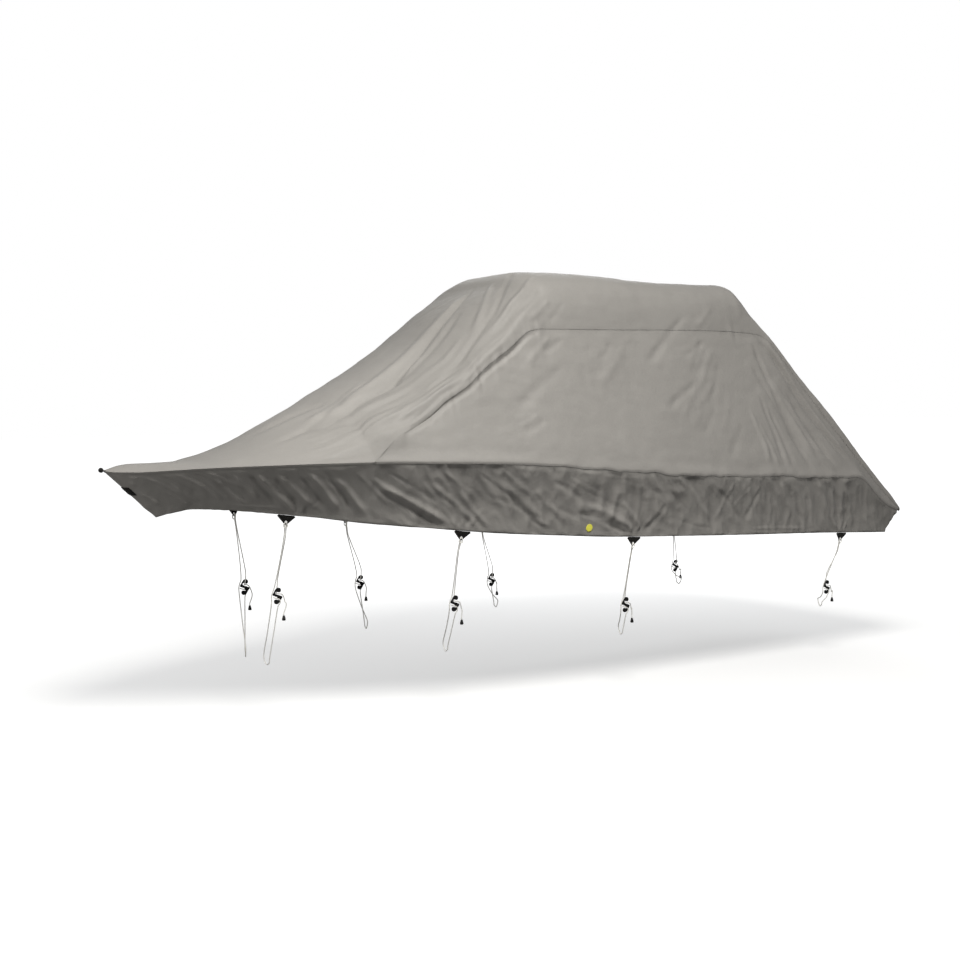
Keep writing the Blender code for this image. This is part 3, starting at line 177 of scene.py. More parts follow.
# ---- creases read from the photograph. Each row: name, half width, height (negative for a valley), then positions along it ----
# on the top: (x, c), c as in section(), negative to port
TOP_CREASES = [
    ("front_valley", 0.038, -0.036, (-1.48, -0.02), (-1.95, -0.25), (-2.30, -0.42), (-2.58, -0.51), (-2.80, -0.53)),
    ("front_ridge", 0.060, 0.0280, (-1.60, -0.03), (-1.85, -0.13), (-2.40, -0.36), (-2.94, -0.42), (-3.30, -0.40)),
    ("corner_ridge", 0.062, 0.030, (-1.38, -0.72), (-1.62, -0.86), (-1.86, -0.91), (-2.34, -0.910), (-2.60, -0.870), (-2.84, -0.80), (-3.08, -0.73), (-3.38, -0.66)),
    ("seam_valley", 0.026, -0.017, (-1.44, -1.01), (-1.77, -1.04), (-2.12, -1.045), (-2.45, -1.035), (-2.66, -1.01), (-2.80, -0.97)),
    ("seam_side", 0.060, -0.0050, (-1.52, -1.05), (-1.80, -1.08), (-2.15, -1.10), (-2.50, -1.10), (-2.80, -1.05)),
    ("corner_streak_a", 0.030, 0.016, (-1.45, -0.62), (-1.63, -0.72), (-1.96, -0.79)),
    ("corner_streak_b", 0.030, 0.016, (-1.48, -0.21), (-1.77, -0.51), (-1.97, -0.68)),
    ("corner_streak_c", 0.028, -0.015, (-1.52, -0.45), (-1.74, -0.64), (-2.05, -0.76), (-2.40, -0.82)),
    ("low_streak_a", 0.028, 0.012, (-2.23, -0.81), (-2.52, -0.80), (-2.81, -0.73), (-3.05, -0.67)),
    ("deck_valley_a", 0.055, -0.014, (-2.96, -0.25), (-3.19, -0.16), (-3.61, -0.04)),
    ("deck_valley_b", 0.040, -0.008, (-3.00, -0.56), (-3.15, -0.54), (-3.38, -0.50)),
    ("deck_ridge", 0.042, 0.0050, (-3.04, -0.83), (-3.24, -0.87), (-3.53, -0.84)),
    ("side_a", 0.028, -0.007, (-1.29, -1.06), (-1.40, -1.13), (-1.52, -1.18)),
    ("side_b", 0.030, 0.007, (-1.40, -1.04), (-1.55, -1.16), (-1.69, -1.25)),
    ("side_c", 0.050, -0.008, (-1.32, -1.27), (-1.60, -1.43), (-1.90, -1.56)),
    ("side_d", 0.028, -0.007, (-0.83, -1.09), (-0.89, -1.16), (-1.00, -1.24)),
    ("side_e", 0.045, 0.007, (-0.69, -1.11), (-0.84, -1.25), (-1.07, -1.45)),
    ("side_f", 0.030, -0.006, (-1.58, -1.67), (-1.67, -1.71), (-1.81, -1.75)),
    ("side_g", 0.034, -0.010, (-0.01, -0.87), (-0.29, -1.08), (-0.55, -1.28)),
    ("side_h", 0.024, -0.007, (0.15, -1.06), (0.01, -1.14), (-0.13, -1.19)),
    ("side_i", 0.024, -0.007, (0.16, -1.10), (0.08, -1.22), (-0.05, -1.35)),
    ("side_j", 0.030, -0.012, (0.01, -1.35), (-0.21, -1.46), (-0.40, -1.58)),
    ("side_k", 0.026, -0.007, (0.05, -1.49), (-0.02, -1.54), (-0.11, -1.60)),
    ("side_l", 0.038, 0.008, (0.19, -1.35), (0.01, -1.50), (-0.17, -1.70)),
    ("side_m", 0.034, -0.007, (0.42, -1.64), (0.30, -1.76), (0.17, -1.92)),
    ("brow_a", 0.034, -0.011, (-1.36, -0.30), (-1.50, -0.42), (-1.68, -0.55)),
    ("brow_b", 0.034, 0.015, (-1.34, -0.52), (-1.52, -0.66), (-1.80, -0.76)),
    ("brow_c", 0.030, -0.010, (-1.36, -0.67), (-1.47, -0.76), (-1.72, -0.84)),
    ("brow_d", 0.030, 0.009, (-1.34, -0.78), (-1.46, -0.86), (-1.62, -0.93)),
    ("brow_e", 0.024, -0.004, (-1.22, -0.80), (-1.31, -0.88), (-1.41, -0.96)),
    ("slope_a", 0.038, -0.015, (-1.80, -0.30), (-2.10, -0.46), (-2.45, -0.55), (-2.80, -0.52), (-3.10, -0.46)),
    ("slope_b", 0.034, 0.013, (-1.95, -0.60), (-2.25, -0.68), (-2.60, -0.66), (-2.90, -0.59), (-3.20, -0.52)),
    ("slope_c", 0.030, -0.011, (-2.10, -0.83), (-2.40, -0.82), (-2.75, -0.74), (-3.05, -0.66)),
    ("slope_d", 0.040, 0.013, (-2.20, -0.48), (-2.60, -0.50), (-3.00, -0.44), (-3.25, -0.40)),
    ("slope_e", 0.032, -0.011, (-2.50, -0.72), (-2.85, -0.64), (-3.20, -0.56)),
    ("slope_f", 0.036, 0.011, (-2.65, -0.26), (-2.95, -0.34), (-3.30, -0.42)),
    ("slope_g", 0.032, -0.011, (-3.00, -0.40), (-3.25, -0.50), (-3.50, -0.56)),
    ("band_a", 0.030, 0.005, (-0.35, -0.55), (-0.25, -0.58), (-0.14, -0.58)),
    ("band_b", 0.026, -0.006, (-0.10, -0.70), (0.02, -0.72), (0.14, -0.74)),
    ("band_c", 0.024, 0.006, (0.30, -0.80), (0.18, -0.90), (0.05, -0.99)),
    ("fine_a", 0.020, -0.008, (0.12, -1.06), (0.03, -1.20), (-0.08, -1.33)),
    ("fine_b", 0.020, 0.008, (0.22, -1.12), (0.12, -1.26), (0.00, -1.42)),
    ("fine_c", 0.020, -0.007, (0.28, -1.20), (0.20, -1.36), (0.09, -1.52)),
    ("fine_d", 0.018, 0.006, (-0.02, -1.40), (-0.12, -1.50), (-0.24, -1.62)),
    ("fine_e", 0.020, -0.007, (0.16, -1.52), (0.05, -1.64), (-0.05, -1.74)),
    ("fine_f", 0.018, 0.006, (0.34, -1.42), (0.27, -1.56), (0.17, -1.70)),
    ("fine_g", 0.014, -0.004, (-0.60, -1.06), (-0.68, -1.13), (-0.78, -1.20)),
    ("fine_h", 0.014, 0.004, (-1.62, -1.62), (-1.72, -1.66), (-1.84, -1.68)),
    ("aft_j", 0.026, -0.014, (0.74, -1.03), (0.98, -1.14), (1.30, -1.34)),
    ("aft_k", 0.028, 0.014, (0.80, -1.00), (1.10, -1.09), (1.50, -1.30), (1.74, -1.55)),
    ("aft_l", 0.024, -0.012, (0.62, -1.22), (0.78, -1.42), (0.98, -1.70), (1.10, -1.95)),
    ("aft_m", 0.024, 0.012, (0.84, -1.30), (1.06, -1.48), (1.30, -1.74), (1.42, -1.96)),
    ("aft_n", 0.022, -0.010, (0.90, -1.62), (1.04, -1.80), (1.14, -1.98)),
    ("aft_o", 0.022, 0.009, (0.58, -1.62), (0.68, -1.80), (0.72, -1.97)),
    ("roof_brow", 0.190, 0.010, (-1.38, -0.45), (-1.35, 0.10), (-1.35, 0.55)),
    ("roof_corner", 0.050, 0.0060, (0.60, -0.92), (0.62, -0.66), (0.62, -0.10)),
    ("low_edge", 0.021, 0.0090, (-3.31, -0.93), (-3.20, -0.905), (-3.10, -0.865), (-3.00, -0.832), (-2.90, -0.865), (-2.79, -0.915), (-2.66, -0.925)),
    ("low_under", 0.034, -0.0075, (-3.24, -0.965), (-3.10, -0.925), (-2.98, -0.895), (-2.87, -0.945), (-2.79, -0.972)),
    ("low_a", 0.020, 0.0070, (-3.38, -0.825), (-3.24, -0.815), (-3.09, -0.76), (-2.94, -0.72), (-2.76, -0.76), (-2.60, -0.79)),
    ("low_b", 0.019, -0.0065, (-3.22, -0.845), (-3.07, -0.805), (-2.95, -0.755), (-2.78, -0.80), (-2.58, -0.825)),
    ("low_c", 0.018, 0.0060, (-3.16, -0.835), (-3.02, -0.79), (-2.92, -0.775), (-2.75, -0.84), (-2.58, -0.855)),
    ("low_d", 0.020, -0.0060, (-3.30, -0.765), (-3.17, -0.735), (-3.04, -0.70), (-2.90, -0.675), (-2.72, -0.70)),
    ("low_e", 0.021, 0.0060, (-3.34, -0.66), (-3.22, -0.665), (-3.08, -0.63), (-2.94, -0.60)),
    ("low_f", 0.022, -0.0060, (-3.20, -0.58), (-3.04, -0.53), (-2.86, -0.50), (-2.66, -0.47)),
    ("low_g", 0.018, 0.0078, (-2.76, -0.885), (-2.60, -0.895), (-2.42, -0.905), (-2.22, -0.915)),
    ("low_h", 0.017, -0.0068, (-2.74, -0.863), (-2.58, -0.870), (-2.40, -0.878), (-2.20, -0.888)),
    ("low_i", 0.018, 0.0062, (-2.70, -0.81), (-2.56, -0.835), (-2.38, -0.85), (-2.14, -0.86)),
    ("low_j", 0.016, -0.0066, (-2.68, -0.955), (-2.52, -0.945), (-2.36, -0.942), (-2.14, -0.95)),
    ("low_k", 0.017, 0.0060, (-2.24, -0.955), (-2.08, -0.945), (-1.92, -0.935), (-1.78, -0.93)),
    ("low_l", 0.017, -0.0060, (-2.20, -0.905), (-2.04, -0.895), (-1.88, -0.885), (-1.72, -0.88)),
    ("aft_a", 0.036, -0.026, (0.86, -1.04), (1.18, -1.22), (1.73, -1.65)),
    ("aft_b", 0.030, -0.020, (0.68, -1.05), (0.87, -1.45), (1.13, -1.87)),
    ("aft_c", 0.036, 0.018, (0.77, -1.31), (1.02, -1.53), (1.24, -1.91)),
    ("aft_d", 0.024, -0.012, (0.66, -1.44), (0.76, -1.72), (0.80, -1.98)),
    ("aft_e", 0.026, 0.011, (0.51, -1.54), (0.61, -1.76), (0.62, -1.95)),
    ("aft_f", 0.024, -0.012, (0.73, -1.51), (0.84, -1.74), (0.91, -1.98)),
    ("aft_g", 0.030, 0.014, (0.97, -1.37), (1.17, -1.62), (1.32, -1.90)),
    ("aft_h", 0.032, -0.018, (1.01, -1.31), (1.24, -1.52), (1.43, -1.91)),
    ("aft_i", 0.034, 0.016, (0.95, -1.15), (1.27, -1.29), (1.58, -1.64)),
]
# on the skirt: (x, v), v from the rail to the hem
SKIRT_CREASES = [
    ("run_a", 0.016, 0.008, (-4.02, 0.30), (-3.97, 0.55), (-3.90, 0.80)),
    ("run_b", 0.015, -0.008, (-3.92, 0.12), (-3.85, 0.40), (-3.74, 0.72)),
    ("run_c", 0.016, -0.009, (-3.30, 0.10), (-3.17, 0.42), (-3.00, 0.80)),
    ("run_d", 0.015, 0.008, (-3.08, 0.14), (-2.95, 0.40), (-2.78, 0.72)),
    ("run_e", 0.016, 0.010, (-2.98, 0.24), (-2.80, 0.45), (-2.55, 0.72)),
    ("run_f", 0.015, -0.009, (-2.86, 0.16), (-2.66, 0.38), (-2.42, 0.66)),
    ("run_g", 0.014, 0.008, (-2.48, 0.12), (-2.34, 0.30), (-2.16, 0.55)),
    ("run_h", 0.016, -0.008, (-2.20, 0.16), (-2.02, 0.36), (-1.82, 0.60)),
    ("run_i", 0.014, 0.008, (-2.02, 0.10), (-1.86, 0.30), (-1.66, 0.52)),
    ("run_j", 0.016, 0.009, (-1.90, 0.60), (-1.72, 0.76), (-1.52, 0.90)),
    ("run_k", 0.014, -0.008, (-1.66, 0.48), (-1.46, 0.64), (-1.22, 0.80)),
    ("run_l", 0.014, 0.007, (-1.44, 0.18), (-1.28, 0.30), (-1.08, 0.44)),
    ("run_m", 0.016, -0.008, (-1.30, 0.30), (-1.10, 0.46), (-0.86, 0.62)),
    ("run_n", 0.014, 0.008, (-1.16, 0.72), (-0.98, 0.82), (-0.80, 0.93)),
    ("run_o", 0.013, 0.0035, (-0.98, 0.18), (-0.82, 0.24), (-0.62, 0.28)),
    ("run_p", 0.014, -0.0040, (-0.66, 0.52), (-0.48, 0.60), (-0.30, 0.62)),
    ("run_q", 0.014, 0.007, (-0.50, 0.20), (-0.36, 0.36), (-0.22, 0.60)),
    ("run_r", 0.015, 0.008, (-0.08, 0.14), (0.06, 0.40), (0.16, 0.70)),
    ("run_s", 0.014, 0.007, (0.42, 0.16), (0.30, 0.38), (0.20, 0.60)),
    ("run_t", 0.014, -0.0040, (-0.40, 0.72), (-0.18, 0.84), (0.06, 0.90)),
    ("run_u", 0.015, 0.008, (0.56, 0.08), (0.68, 0.40), (0.78, 0.80)),
    ("run_v", 0.014, -0.007, (1.00, 0.08), (1.10, 0.36), (1.20, 0.66)),
    ("run_w", 0.015, 0.008, (1.38, 0.10), (1.48, 0.44), (1.56, 0.80)),
    ("run_x", 0.014, -0.007, (1.56, 0.30), (1.62, 0.60), (1.66, 0.88)),
    ("hem_a", 0.012, 0.005, (-3.95, 0.86), (-3.70, 0.88), (-3.45, 0.86)),
    ("hem_b", 0.012, 0.005, (0.40, 0.90), (0.75, 0.90), (1.10, 0.92)),
    ("bow_a", 0.016, 0.0119, (-4.26, 0.29), (-4.19, 0.57), (-4.12, 0.82)),
    ("bow_b", 0.018, 0.0142, (-4.12, 0.20), (-4.04, 0.50), (-3.95, 0.82)),
    ("bow_c", 0.021, 0.0189, (-3.97, 0.23), (-3.90, 0.51), (-3.79, 0.92)),
    ("bow_d", 0.016, 0.0142, (-3.86, 0.14), (-3.79, 0.42), (-3.70, 0.79)),
    ("bow_e", 0.022, 0.0236, (-3.71, 0.16), (-3.61, 0.50), (-3.46, 0.91)),
    ("bow_f", 0.019, -0.0189, (-3.76, 0.16), (-3.68, 0.50), (-3.57, 0.87)),
    ("bow_g", 0.022, 0.0213, (-3.59, 0.17), (-3.45, 0.51), (-3.29, 0.87)),
    ("bow_h", 0.019, -0.0189, (-3.61, 0.25), (-3.50, 0.57), (-3.41, 0.90)),
    ("bow_i", 0.022, 0.0236, (-3.39, 0.14), (-3.26, 0.48), (-3.12, 0.87)),
    ("bow_j", 0.019, -0.0189, (-3.44, 0.22), (-3.33, 0.52), (-3.22, 0.86)),
    ("bow_k", 0.022, 0.0213, (-3.20, 0.26), (-3.09, 0.51), (-2.94, 0.89)),
    ("bow_l", 0.019, -0.0189, (-3.26, 0.26), (-3.13, 0.55), (-3.04, 0.87)),
    ("tab_b_a", 0.027, 0.0204, (-2.93, 0.34), (-2.64, 0.63), (-2.30, 0.97)),
    ("tab_b_b", 0.022, -0.0153, (-2.90, 0.43), (-2.67, 0.72), (-2.40, 0.97)),
    ("tab_b_c", 0.024, 0.0170, (-2.56, 0.28), (-2.33, 0.63), (-2.12, 0.96)),
    ("tab_b_d", 0.020, 0.0119, (-2.33, 0.41), (-2.18, 0.70), (-2.03, 0.96)),
    ("tab_b_e", 0.020, -0.0136, (-2.45, 0.50), (-2.27, 0.72), (-2.16, 0.95)),
    ("mid_a", 0.029, 0.0135, (-2.04, 0.25), (-1.78, 0.56), (-1.59, 0.84)),
    ("mid_b", 0.020, -0.0120, (-2.10, 0.48), (-1.86, 0.58), (-1.59, 0.93)),
    ("mid_c", 0.024, 0.0120, (-1.74, 0.34), (-1.58, 0.57), (-1.40, 0.85)),
    ("mid_d", 0.024, -0.0105, (-1.60, 0.23), (-1.41, 0.35), (-1.25, 0.55)),
    ("tab_c_a", 0.029, 0.0187, (-1.29, 0.55), (-1.03, 0.64), (-0.72, 0.97)),
    ("tab_c_b", 0.024, -0.0136, (-1.37, 0.66), (-1.11, 0.73), (-0.84, 0.97)),
    ("tab_c_c", 0.020, 0.0119, (-0.95, 0.45), (-0.80, 0.67), (-0.69, 0.97)),
    ("mid_e", 0.030, 0.0050, (-0.76, 0.39), (-0.55, 0.42), (-0.31, 0.49)),
    ("mid_f", 0.022, -0.0050, (-0.76, 0.23), (-0.62, 0.31), (-0.44, 0.34)),
    ("mid_g", 0.029, -0.0135, (-0.47, 0.46), (-0.58, 0.75), (-0.70, 0.97)),
    ("vee_a", 0.022, -0.0120, (0.02, 0.23), (0.20, 0.50), (0.35, 0.82)),
    ("vee_b", 0.022, -0.0120, (0.51, 0.22), (0.42, 0.50), (0.35, 0.82)),
    ("mid_h", 0.024, 0.0105, (-0.28, 0.18), (-0.14, 0.50), (0.01, 0.78)),
    ("stern_a", 0.024, 0.0135, (0.71, 0.08), (0.80, 0.37), (0.99, 0.89)),
    ("stern_b", 0.020, -0.0120, (0.81, 0.15), (0.92, 0.51), (1.05, 0.87)),
    ("stern_c", 0.024, 0.0135, (1.16, 0.08), (1.25, 0.37), (1.42, 0.96)),
    ("stern_d", 0.024, -0.0135, (1.29, 0.10), (1.43, 0.43), (1.54, 0.94)),
    ("stern_e", 0.024, 0.0120, (1.50, 0.15), (1.61, 0.51), (1.69, 0.91)),
    ("mid_i", 0.015, -0.0035, (-1.17, 0.08), (-0.93, 0.08), (-0.69, 0.08)),
    ("mid_j", 0.020, 0.0090, (0.20, 0.12), (0.13, 0.42), (0.01, 0.82)),
    ("tip_d", 0.018, 0.013, (-4.38, 0.10), (-4.30, 0.35), (-4.20, 0.65)),
    ("tip_e", 0.018, -0.012, (-4.30, 0.08), (-4.20, 0.35), (-4.08, 0.70)),
    ("tip_f", 0.016, 0.012, (-4.33, 0.45), (-4.26, 0.70), (-4.20, 0.92)),
    ("tip_g", 0.016, 0.012, (-4.18, 0.10), (-4.08, 0.36), (-3.96, 0.66)),
    ("tip_h", 0.016, -0.012, (-4.10, 0.08), (-4.00, 0.30), (-3.88, 0.58)),
    ("tip_i", 0.017, 0.012, (-4.02, 0.06), (-3.92, 0.26), (-3.78, 0.50)),
    ("tip_a", 0.015, 0.0120, (-4.45, 0.06), (-4.47, 0.18), (-4.52, 0.34)),
    ("tip_b", 0.015, 0.0120, (-4.42, 0.08), (-4.46, 0.20), (-4.50, 0.34)),
    ("tip_c", 0.015, 0.0120, (-4.50, 0.46), (-4.47, 0.61), (-4.46, 0.81)),
]
# soft folds of the back, which the photograph doesn't show
BACK_CREASES = [
    ("back_a", 0.070, -0.014, (0.70, -0.36), (1.10, -0.33), (1.45, -0.30), (2.05, -0.20)),
    ("back_b", 0.070, -0.012, (0.72, 0.25), (1.10, 0.31), (1.40, 0.36), (2.00, 0.42)),
    ("back_c", 0.045, 0.009, (0.66, -0.66), (1.00, -0.60), (1.50, -0.58)),
    ("back_d", 0.045, 0.009, (0.66, 0.70), (1.05, 0.62), (1.60, 0.64)),
    ("back_e", 0.050, -0.010, (0.80, -0.90), (0.95, -0.86), (1.40, -0.82), (1.90, -0.86)),
    ("back_f", 0.050, -0.010, (0.80, 0.90), (0.95, 0.87), (1.40, 0.80), (1.90, 0.88)),
    ("back_g", 0.040, 0.007, (1.20, 0.02), (1.60, 0.06), (2.10, 0.10)),
]
TAB_X = (-3.431, -2.243, -0.774, 1.523)


def lattice(i, j, k, seed):
    h = (i * 374761393 + j * 668265263 + k * 1440662683 + seed * 1274126177) & 0xFFFFFFFF
    h = ((h ^ (h >> 13)) * 1274126177) & 0xFFFFFFFF
    return ((h ^ (h >> 16)) & 0xFFFF) / 65535.0


def noise(P, size, seed):
    """Smooth value noise from -1 to 1; size is the length of a cell, one number or three."""
    q = P / np.asarray(size, float)
    i = np.floor(q).astype(np.int64)
    f = q - i
    f = f * f * f * (f * (f * 6 - 15) + 10)
    x, y, z = i[..., 0], i[..., 1], i[..., 2]
    fx, fy, fz = f[..., 0], f[..., 1], f[..., 2]
    out = 0.0
    for a in (0, 1):
        for b in (0, 1):
            for c in (0, 1):
                w = (fx if a else 1 - fx) * (fy if b else 1 - fy) * (fz if c else 1 - fz)
                out = out + w * lattice(x + a, y + b, z + c, seed)
    return out * 2 - 1


def flow(P, size, seed):
    """Smooth gradient noise, about -1 to 1, without the squareness of value noise."""
    q = P / np.asarray(size, float)
    i = np.floor(q).astype(np.int64)
    f = q - i
    s = f * f * f * (f * (f * 6 - 15) + 10)
    out = 0.0
    for a in (0, 1):
        for b in (0, 1):
            for c in (0, 1):
                w = (s[..., 0] if a else 1 - s[..., 0]) * (s[..., 1] if b else 1 - s[..., 1]) * (s[..., 2] if c else 1 - s[..., 2])
                g = [2 * lattice(i[..., 0] + a, i[..., 1] + b, i[..., 2] + c, seed * 3 + m) - 1 for m in (0, 1, 2)]
                out = out + w * (g[0] * (f[..., 0] - a) + g[1] * (f[..., 1] - b) + g[2] * (f[..., 2] - c))
    return out * 1.9


def line_through(points, at, n=9):
    """Fine polyline through (x, position) points; at(x, position) gives the place."""
    pts = np.array(points, float)
    t = np.linspace(0, len(pts) - 1, (len(pts) - 1) * n + 1)
    x, c = np.interp(t, np.arange(len(pts)), pts[:, 0]), np.interp(t, np.arange(len(pts)), pts[:, 1])
    for _ in range(6):  # round the corners of the route
        x[1:-1] = (x[:-2] + 2 * x[1:-1] + x[2:]) / 4
        c[1:-1] = (c[:-2] + 2 * c[1:-1] + c[2:]) / 4
    return np.array([at(a, b) for a, b in zip(x, c)])


def crease_lines():
    """All creases of the top and of the skirt: the port side's as read, the starboard side's alike but shifted a little."""
    on_top = lambda x, c: top_row(x, np.array([c]))[0]
    tops, skirts = [], []
    for n, (name, width, height, *pts) in enumerate(TOP_CREASES):
        tops.append((line_through(pts, on_top), width, height))
        dx, k = 0.05 * math.sin(2.3 * n), (0.8 + 0.2 * math.cos(1.7 * n)) * (0.12 if name.startswith("front") else 0.25 if pts[0][0] < -1.2 and abs(pts[0][1]) < 0.85 else 1.0)
        if name.startswith("roof"):
            continue
        tops.append((line_through([(x + dx, -c + (0.02 * math.sin(n) if abs(c) > 1.02 else 0.0)) for x, c in pts], on_top), width, height * k))
    for name, width, height, *pts in BACK_CREASES:
        tops.append((line_through(pts, on_top), width, height))
    for n, (name, width, height, *pts) in enumerate(SKIRT_CREASES):
        skirts.append((line_through(pts, lambda x, v: skirt_line(x, -1, v)), width, height))
        dx, k = (0.06 * math.sin(1.9 * n) if pts[0][0] > -4.2 and not name.startswith("tab") else 0.0), 0.8 + 0.2 * math.cos(2.1 * n)
        skirts.append((line_through([(x + dx, v) for x, v in pts], lambda x, v: skirt_line(x, 1, v)), width, height * k))
    # small creases that run together at each tab
    for side in (-1, 1):
        for n, xt in enumerate(TAB_X):
            for m, (off, reach) in enumerate(((-0.20, 0.66), (-0.11, 0.58), (-0.03, 0.62), (0.07, 0.55), (0.15, 0.66))):
                h = 0.0075 * (1 if (m + n) % 2 else -1)
                pts = [(xt + off, reach), (xt + off * 0.55, 0.80), (xt + off * 0.22, 0.975)]
                skirts.append((line_through(pts, lambda x, v: skirt_line(x, side, v)), 0.014, h))
    return tops, skirts


def relief(P, lines):
    """Height of the creases at points P: each has a round back with a slight dip on either side."""
    flat = P.reshape(-1, 3)
    h = np.zeros(len(flat))
    for line, width, height in lines:
        a, b = line[:-1], line[1:]
        d = b - a
        near = np.flatnonzero(np.all((flat > line.min(0) - 3.2 * width) & (flat < line.max(0) + 3.2 * width), axis=1))
        for part in np.array_split(near, max(1, len(near) // 20000)):
            if not len(part):
                continue
            q = flat[part]
            t = np.clip(((q[:, None] - a[None]) * d[None]).sum(-1) / np.maximum((d * d).sum(-1), 1e-12)[None], 0, 1)
            r = np.linalg.norm(q[:, None] - (a[None] + d[None] * t[..., None]), axis=-1)
            k = r.argmin(1)
            m = np.arange(len(k))
            s = (k + t[m, k]) / len(a)
            taper = smooth(s / 0.22) * smooth((1 - s) / 0.30)
            # the fold wanders in strength along its way and grows wider towards its end
            w = width * (0.75 + 0.5 * s)
            u = (r[m, k] / w) ** 2
            h[part] += height * taper * (0.85 + 0.25 * np.sin(9 * s + 37 * width)) * (1 - 0.55 * u) * np.exp(-0.85 * u)
    return h.reshape(P.shape[:-1])


def sag(P):
    """Slow unevenness of hanging cloth."""
    x, y, z = P[..., 0], P[..., 1], P[..., 2]
    return 0.004 * np.sin(3.1 * x + 1.7 * y + 0.6) * np.sin(2.3 * y - 1.9 * z + 1.1) + 0.003 * np.sin(6.1 * x - 3.7 * z + 0.4 * y)


def crumple(P, fold=1.0):
    """Fine unevenness of coated cloth: soft lumps and small ridges, stretched along the way the cloth hangs."""
    slope = np.array([1.0, 1.0, 0.55])
    lumps = 0.0026 * flow(P, 0.30 * slope, 3) + 0.0018 * flow(P, 0.13 * slope, 4)
    ridged = 0.0022 * (0.4 - np.abs(flow(P, (0.12, 0.12, 0.22), 5))) + 0.0012 * (0.4 - np.abs(flow(P, (0.060, 0.060, 0.11), 6)))
    patchy = 0.55 + 0.45 * noise(P, 0.5, 7)
    return lumps + ridged * patchy * fold


TOP_LINES, SKIRT_LINES = crease_lines()

# ---- sheets ----
THICK = 0.0012      # how thick the cloth is shown
TURN = 0.020        # how far the panels turn down over the rail
LAP = 0.012         # how far one cloth runs under the next at a seam
HEM_BAND = 0.030    # width of the turned and stitched hem
STITCH = 0.0035     # length of one stitch


PATCH_AT = np.array([-0.90484, -1.09354, -1.95508]) + ORIGIN
STEM_AT = np.array([-4.417, 0.0, 1.701])  # the cloth lies flat under the webbing at the stem


def stations():
    """Places along the boat: close together where the long seams gather the cloth, wider apart elsewhere."""
    out, x = [-4.570], -4.570
    while x < STERN - 1e-6:
        step = 0.010 if x < -4.45 else 0.021 if x < XJ else 0.0125 if x < -1.36 else 0.016 if x < -1.0 else 0.025 if x < 0.40 else 0.015 if x < 0.86 else 0.026
        x = min(x + step, STERN)
        if STERN - x < 0.006:
            x = STERN
        out.append(x)
    k = int(np.argmin(np.abs(np.array(out) - XJ)))
    out[k] = XJ
    return out


XS = stations()


def half_length(x):
    """Length of the section from the centre line to the seam, and from the seam to the rail."""
    y, z = section(x, np.linspace(0, 1, 41))
    yr, zr = rail(x)
    return float(np.hypot(np.diff(y), np.diff(z)).sum()), math.hypot(yr - y[-1], zr - z[-1])


# where the last pucker of the slope runs: place along the boat, and c
LOW_X = (-3.42, -3.29, -3.20, -3.10, -3.00, -2.90, -2.80, -2.68, -2.55)
LOW_C = (0.985, 0.935, 0.912, 0.870, 0.838, 0.872, 0.928, 0.945, 0.985)
LENGTHS = np.array([half_length(x) for x in XS])
SEAM_AT = np.array([top_row(x, np.array([-1.0]))[0] for x in XS])
SEAM_RUN = np.concatenate([[0], np.cumsum(np.linalg.norm(np.diff(SEAM_AT, axis=0), axis=1))])


def gathers(x, side, far, run):
    """Puckers along the long seams: strong on the slope, slight along the roof and down the back corner. far is the distance from the seam."""
    strong = smooth((x + 3.02) / 0.2) * smooth((-1.42 - x) / 0.10)
    roof = smooth((x + 1.45) / 0.1) * smooth((0.66 - x) / 0.1)
    corner = np.exp(-(((x - 0.46) / 0.10) ** 2))
    back = smooth((x - 0.80) / 0.12) * smooth((2.1 - x) / 0.2)
    amount = 0.0100 * strong + 0.0012 * roof + 0.0050 * corner + 0.0030 * back
    at = np.stack([run + 11.0 * (side + 2), 0 * run, 0 * run], -1)
    wave = 0.75 * noise(at, 0.058, 11) + 0.45 * noise(at, 0.036, 12) + 0.5 * noise(at, 0.095, 13)
    reach = 0.050 + 0.045 * (0.5 + 0.5 * noise(at, 0.06, 14))
    return amount * wave * np.exp(-((far / reach) ** 1.3))


def shape_top(x, c, far_seam, run):
    """The outer face of the top at station x, with all its relief, and how high that relief is."""
    P, N = top_row(x, c), top_normal(x, c)
    yr, zr = rail(x)
    edge = np.hypot(np.abs(P[..., 1]) - yr, P[..., 2] - zr)
    w = smooth(edge / 0.055) * smooth((x + 4.57) / 0.25) * smooth((STERN - x) / 0.10)
    side = np.where(c < 0, -1.0, 1.0)
    h = relief(P, TOP_LINES) + sag(P) * smooth(edge / 0.11) + crumple(P, 1.0 + 0.5 * smooth((x - 0.6) / 0.4))
    # the cloth hollows a little where it comes down on to the rail
    flare = np.exp(-(((edge - 0.075) / 0.050) ** 2)) * smooth((x + 4.3) / 0.5) * smooth((2.0 - x) / 0.4)
    h = h - 0.0028 * flare * (1.0 if x > XJ else 0.6)
    g = gathers(np.full(c.shape, x), side, far_seam, run) if x > XJ - 0.05 else 0.0
    total = (h + g) * w
    return P + N * total[..., None], N, total


def corner_rows(p, above, down, lengths):
    """Rows that turn from the top down over the rail at p; above is the next point of the top, down points along the skirt."""
    rows = []
    r = min(0.010, 0.6 * float(np.linalg.norm(above - p)))
    a = p + (above - p) / np.maximum(np.linalg.norm(above - p, axis=-1, keepdims=True), 1e-9) * r
    for t in (0.35, 0.65, 1.0):
        rows.append(a * (1 - t) ** 2 + 2 * p * t * (1 - t) + (p + down * r) * t**2)
    for s in lengths:
        rows.append(p + down * s)
    return a, rows


